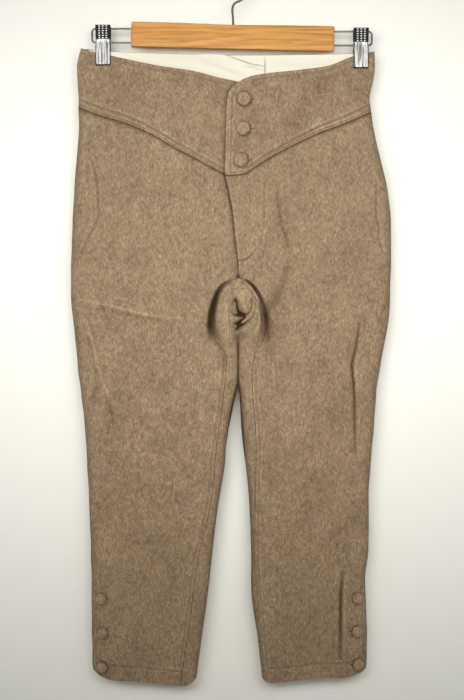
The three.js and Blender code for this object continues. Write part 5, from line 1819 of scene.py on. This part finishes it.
def plate_shape(side, face):
    """A clip's plate, and which of its faces carry painted shade: its edges, the plate beside the grip, its
    sides and its teeth.
    """
    outside = plate_grid(side, face, 0.0)
    points, quads = closed_wall(outside, plate_grid(side, face, CLIP_PLATE))
    middle = (outside[:-1, :-1] + outside[1:, 1:]) / 2
    away = np.abs(middle[..., 0] - CLIP_X[side])
    down = CLIP_TOP_Z[side] - middle[..., 2]
    beside_grip = (down < PLATE_LIP_DOWN_TO + 1) & (away > PLATE_BESIDE_GRIP)
    edges = np.ones(len(quads), dtype=int)
    edges[:away.size] = (beside_grip | (away > PLATE_SIDE) | (down > CLIP_HEIGHT - PLATE_TEETH)).ravel()
    return points, quads, edges


GRIP_WIDTH = 15
STUDS_ACROSS = 3
STUDS_DOWN = 6
PAD = 0.8
STUD = 1.0
STUD_STEPS = 8


def grip_shape(side, face):
    """The grip's pad with its rows of studs, and which of its faces are the studs' tops, which carry a
    painted highlight.
    """
    columns, rows = STUDS_ACROSS * STUD_STEPS + 1, STUDS_DOWN * STUD_STEPS + 1
    across, down_share = np.meshgrid(np.linspace(0, 1, columns), np.linspace(0, 1, rows))
    wave = np.sin(np.pi * across * STUDS_ACROSS) ** 2 * np.sin(np.pi * down_share * STUDS_DOWN) ** 4
    height = STUD * smooth((wave - 0.35) / 0.3)
    down = 0.6 + down_share * (GRIP_HEIGHT - 0.6)
    x = CLIP_X[side] + (across * 2 - 1) * GRIP_WIDTH / 2
    seat = plate_offset(side, face, down) + CLIP_PLATE + 0.2
    z = CLIP_TOP_Z[side] - down
    outside = np.stack([x, face * (seat + PAD + height), z], axis=-1)
    inside = np.stack([x, face * seat, z], axis=-1)
    points, quads = closed_wall(outside, inside)
    tops = np.zeros(len(quads), dtype=int)
    count = (rows - 1) * (columns - 1)
    corners = height[:-1, :-1] + height[1:, :-1] + height[1:, 1:] + height[:-1, 1:]
    tops[:count] = (corners > 1.2 * STUD).ravel()
    return points, quads, tops


class TROUSERS_OT_clips(bpy.types.Operator):
    """Make the two clips: stamped plates with ribs and teeth, and their studded grips"""
    bl_idname = "trousers.clips"
    bl_label = "Clips"
    bl_options = {"REGISTER", "UNDO"}

    def execute(self, context):
        plating = metal_material("Pressed plating", 0.3, 0.45, 0.62, 0.9, 0.12)
        # Near black: painted shade on the plates' edges, sides, teeth and beside the grips.
        painted_edge_shade = metal_material("Painted edge shade", 0.5, 0.65, 0.012)
        grip = grip_material()
        # The studs' tops take a painted highlight.
        studs = grip_material("Painted stud highlights", True)
        for side in SIDES:
            for name, face in (("front", FRONT), ("back", BACK)):
                end = f"{name}_{side}"
                points, quads, edges = plate_shape(side, face)
                plate = make_object(f"plated_plate_{end}", points, quads, [plating, painted_edge_shade], edges, 38)
                finish_piece(plate, "metal", f"clip_plate_{end}")
                points, quads, tops = grip_shape(side, face)
                pad = make_object(f"studded_grip_{end}", points, quads, [grip, studs], tops, 45)
                finish_piece(pad, "grip", f"clip_grip_{end}")
        return {"FINISHED"}


class TROUSERS_OT_cuts(bpy.types.Operator):
    """A last step that does nothing"""
    bl_idname = "trousers.cuts"
    bl_label = "Cloth cuts"
    bl_options = {"REGISTER", "UNDO"}

    def execute(self, context):
        return {"FINISHED"}


def backdrop_material(name, see_through_behind):
    """Pale painted board. Seen from behind, and for light that comes from behind, it isn't there."""
    material, s, sockets = new_material(name, {"Specular IOR Level": 0.2}, 0.8)
    if s:
        paint = palette().backdrop
        tone = s.noise(s.place(), 3.0)
        s.put(sockets["Base Color"], s.mix(tone, tinted(paint), tinted(paint, 0.97)))
        fine = s.noise(s.place(), 400.0)
        s.put(sockets["Normal"], s.bump(fine, 0.05, 0.0005))
        if see_through_behind:
            back = s.node("ShaderNodeNewGeometry").outputs["Backfacing"]
            shadow = s.node("ShaderNodeLightPath").outputs["Is Shadow Ray"]
            clear = s.node("ShaderNodeBsdfTransparent").outputs[0]
            blend = s.node("ShaderNodeMixShader", {0: s.math("MAXIMUM", back, shadow)})
            solid = material.node_tree.nodes["Principled BSDF"].outputs[0]
            s.put(blend.inputs[1], solid)
            s.put(blend.inputs[2], clear)
            s.put(material.node_tree.nodes["Material Output"].inputs["Surface"], blend.outputs[0])
    return material


def area_light(name, place, target, size, power, colour, spread):
    data = bpy.data.lights.new(name, "AREA")
    data.shape = "RECTANGLE"
    data.size, data.size_y = size
    data.energy = power
    data.spread = math.radians(spread)
    data.color = colour
    obj = bpy.data.objects.new(name, data)
    obj.location = place
    obj.rotation_mode = "QUATERNION"
    obj.rotation_quaternion = (Vector(target) - Vector(place)).to_track_quat("-Z", "Y")
    obj.visible_camera = False
    bpy.context.scene.collection.objects.link(obj)


# Name, place, what it is turned to, width and height, power in watts, colour and spread in degrees.
LIGHTS = [
    ("key", (-0.1, -2.0, -0.3), (0.0, 0.0, -0.35), (1.4, 0.4), 5.9, (1.0, 0.985, 0.95), 52),
    ("fill", (0.55, -2.4, -0.2), (0.1, 0.0, -0.5), (1.6, 1.1), 8.0, (1.0, 0.99, 0.97), 180),
    ("behind", (0.3, 2.4, 0.3), (0.0, 0.0, -0.5), (2.2, 2.2), 14, (1, 1, 1), 180),
]
AIM = (-0.0017, 0.0, -0.5357)
FLOOR_Z = -1.16


class TROUSERS_OT_stage(bpy.types.Operator):
    """Set the floor, the backdrop, the studio lights and the camera"""
    bl_idname = "trousers.stage"
    bl_label = "Stage"
    bl_options = {"REGISTER", "UNDO"}

    def execute(self, context):
        sizes = context.scene.trousers_sizes
        far = sizes.wall_distance / MM
        low = FLOOR_Z / MM
        wall = [(-4000, far, low), (4000, far, low), (4000, far, 3000), (-4000, far, 3000)]
        floor = [(-4000, -4000, low), (4000, -4000, low), (4000, 4000, low), (-4000, 4000, low)]
        stage = [
            make_object("backdrop", wall, [range(4)], [backdrop_material("Painted backdrop", True)]),
            make_object("floor", floor, [range(4)], [backdrop_material("Painted floor", False)]),
        ]
        for light in LIGHTS:
            area_light(*light)
        self.world()
        self.camera(sizes)
        return {"FINISHED"}

    @staticmethod
    def world():
        world = bpy.data.worlds.new("Studio")
        bpy.context.scene.world = world
        world.use_nodes = True
        s = Shader(world.node_tree)
        direction = s.node("ShaderNodeTexCoord").outputs["Generated"]
        height = s.node("ShaderNodeSeparateXYZ", {0: direction}).outputs["Z"]
        colour = s.mix(s.span(height, -0.5, 0.7), (0.5, 0.48, 0.44, 1), (1.0, 1.0, 1.0, 1))
        ground = world.node_tree.nodes["Background"]
        s.put(ground.inputs["Color"], colour)
        ground.inputs["Strength"].default_value = 0.13
        bpy.context.scene.view_settings.view_transform = "Standard"

    @staticmethod
    def camera(sizes):
        data = bpy.data.cameras.new("camera")
        data.lens = 85
        data.sensor_width = 36
        camera = bpy.data.objects.new("camera", data)
        camera.location = (AIM[0], -sizes.camera_distance, AIM[2])
        camera.rotation_euler = (math.pi / 2, 0, 0)
        bpy.context.scene.collection.objects.link(camera)
        bpy.context.scene.camera = camera


STEPS = (
    TROUSERS_OT_stage, TROUSERS_OT_backs, TROUSERS_OT_fronts, TROUSERS_OT_yokes, TROUSERS_OT_facings,
    TROUSERS_OT_buttons, TROUSERS_OT_stitching, TROUSERS_OT_bar, TROUSERS_OT_wires, TROUSERS_OT_clips,
    TROUSERS_OT_cuts,
)


class TROUSERS_PT_panel(bpy.types.Panel):
    """The trousers' pieces, sizes and colours"""
    bl_idname = "TROUSERS_PT_panel"
    bl_label = "Hung trousers"
    bl_space_type = "VIEW_3D"
    bl_region_type = "UI"
    bl_category = "Trousers"

    def draw(self, context):
        for step in STEPS:
            self.layout.operator(step.bl_idname)
        for group in (context.scene.trousers_sizes, context.scene.trousers_colours):
            box = self.layout.box()
            for name in group.bl_rna.properties.keys():
                if name not in ("rna_type", "name"):
                    box.prop(group, name)


CLASSES = (TrousersSizes, TrousersColours, *STEPS, TROUSERS_PT_panel)


def register():
    for one in CLASSES:
        bpy.utils.register_class(one)
    bpy.types.Scene.trousers_sizes = PointerProperty(type=TrousersSizes)
    bpy.types.Scene.trousers_colours = PointerProperty(type=TrousersColours)


def unregister():
    del bpy.types.Scene.trousers_colours
    del bpy.types.Scene.trousers_sizes
    for one in reversed(CLASSES):
        bpy.utils.unregister_class(one)


def main():
    register()
    for step in STEPS:
        area, name = step.bl_idname.split(".")
        getattr(getattr(bpy.ops, area), name)()


if __name__ == "__main__":
    main()
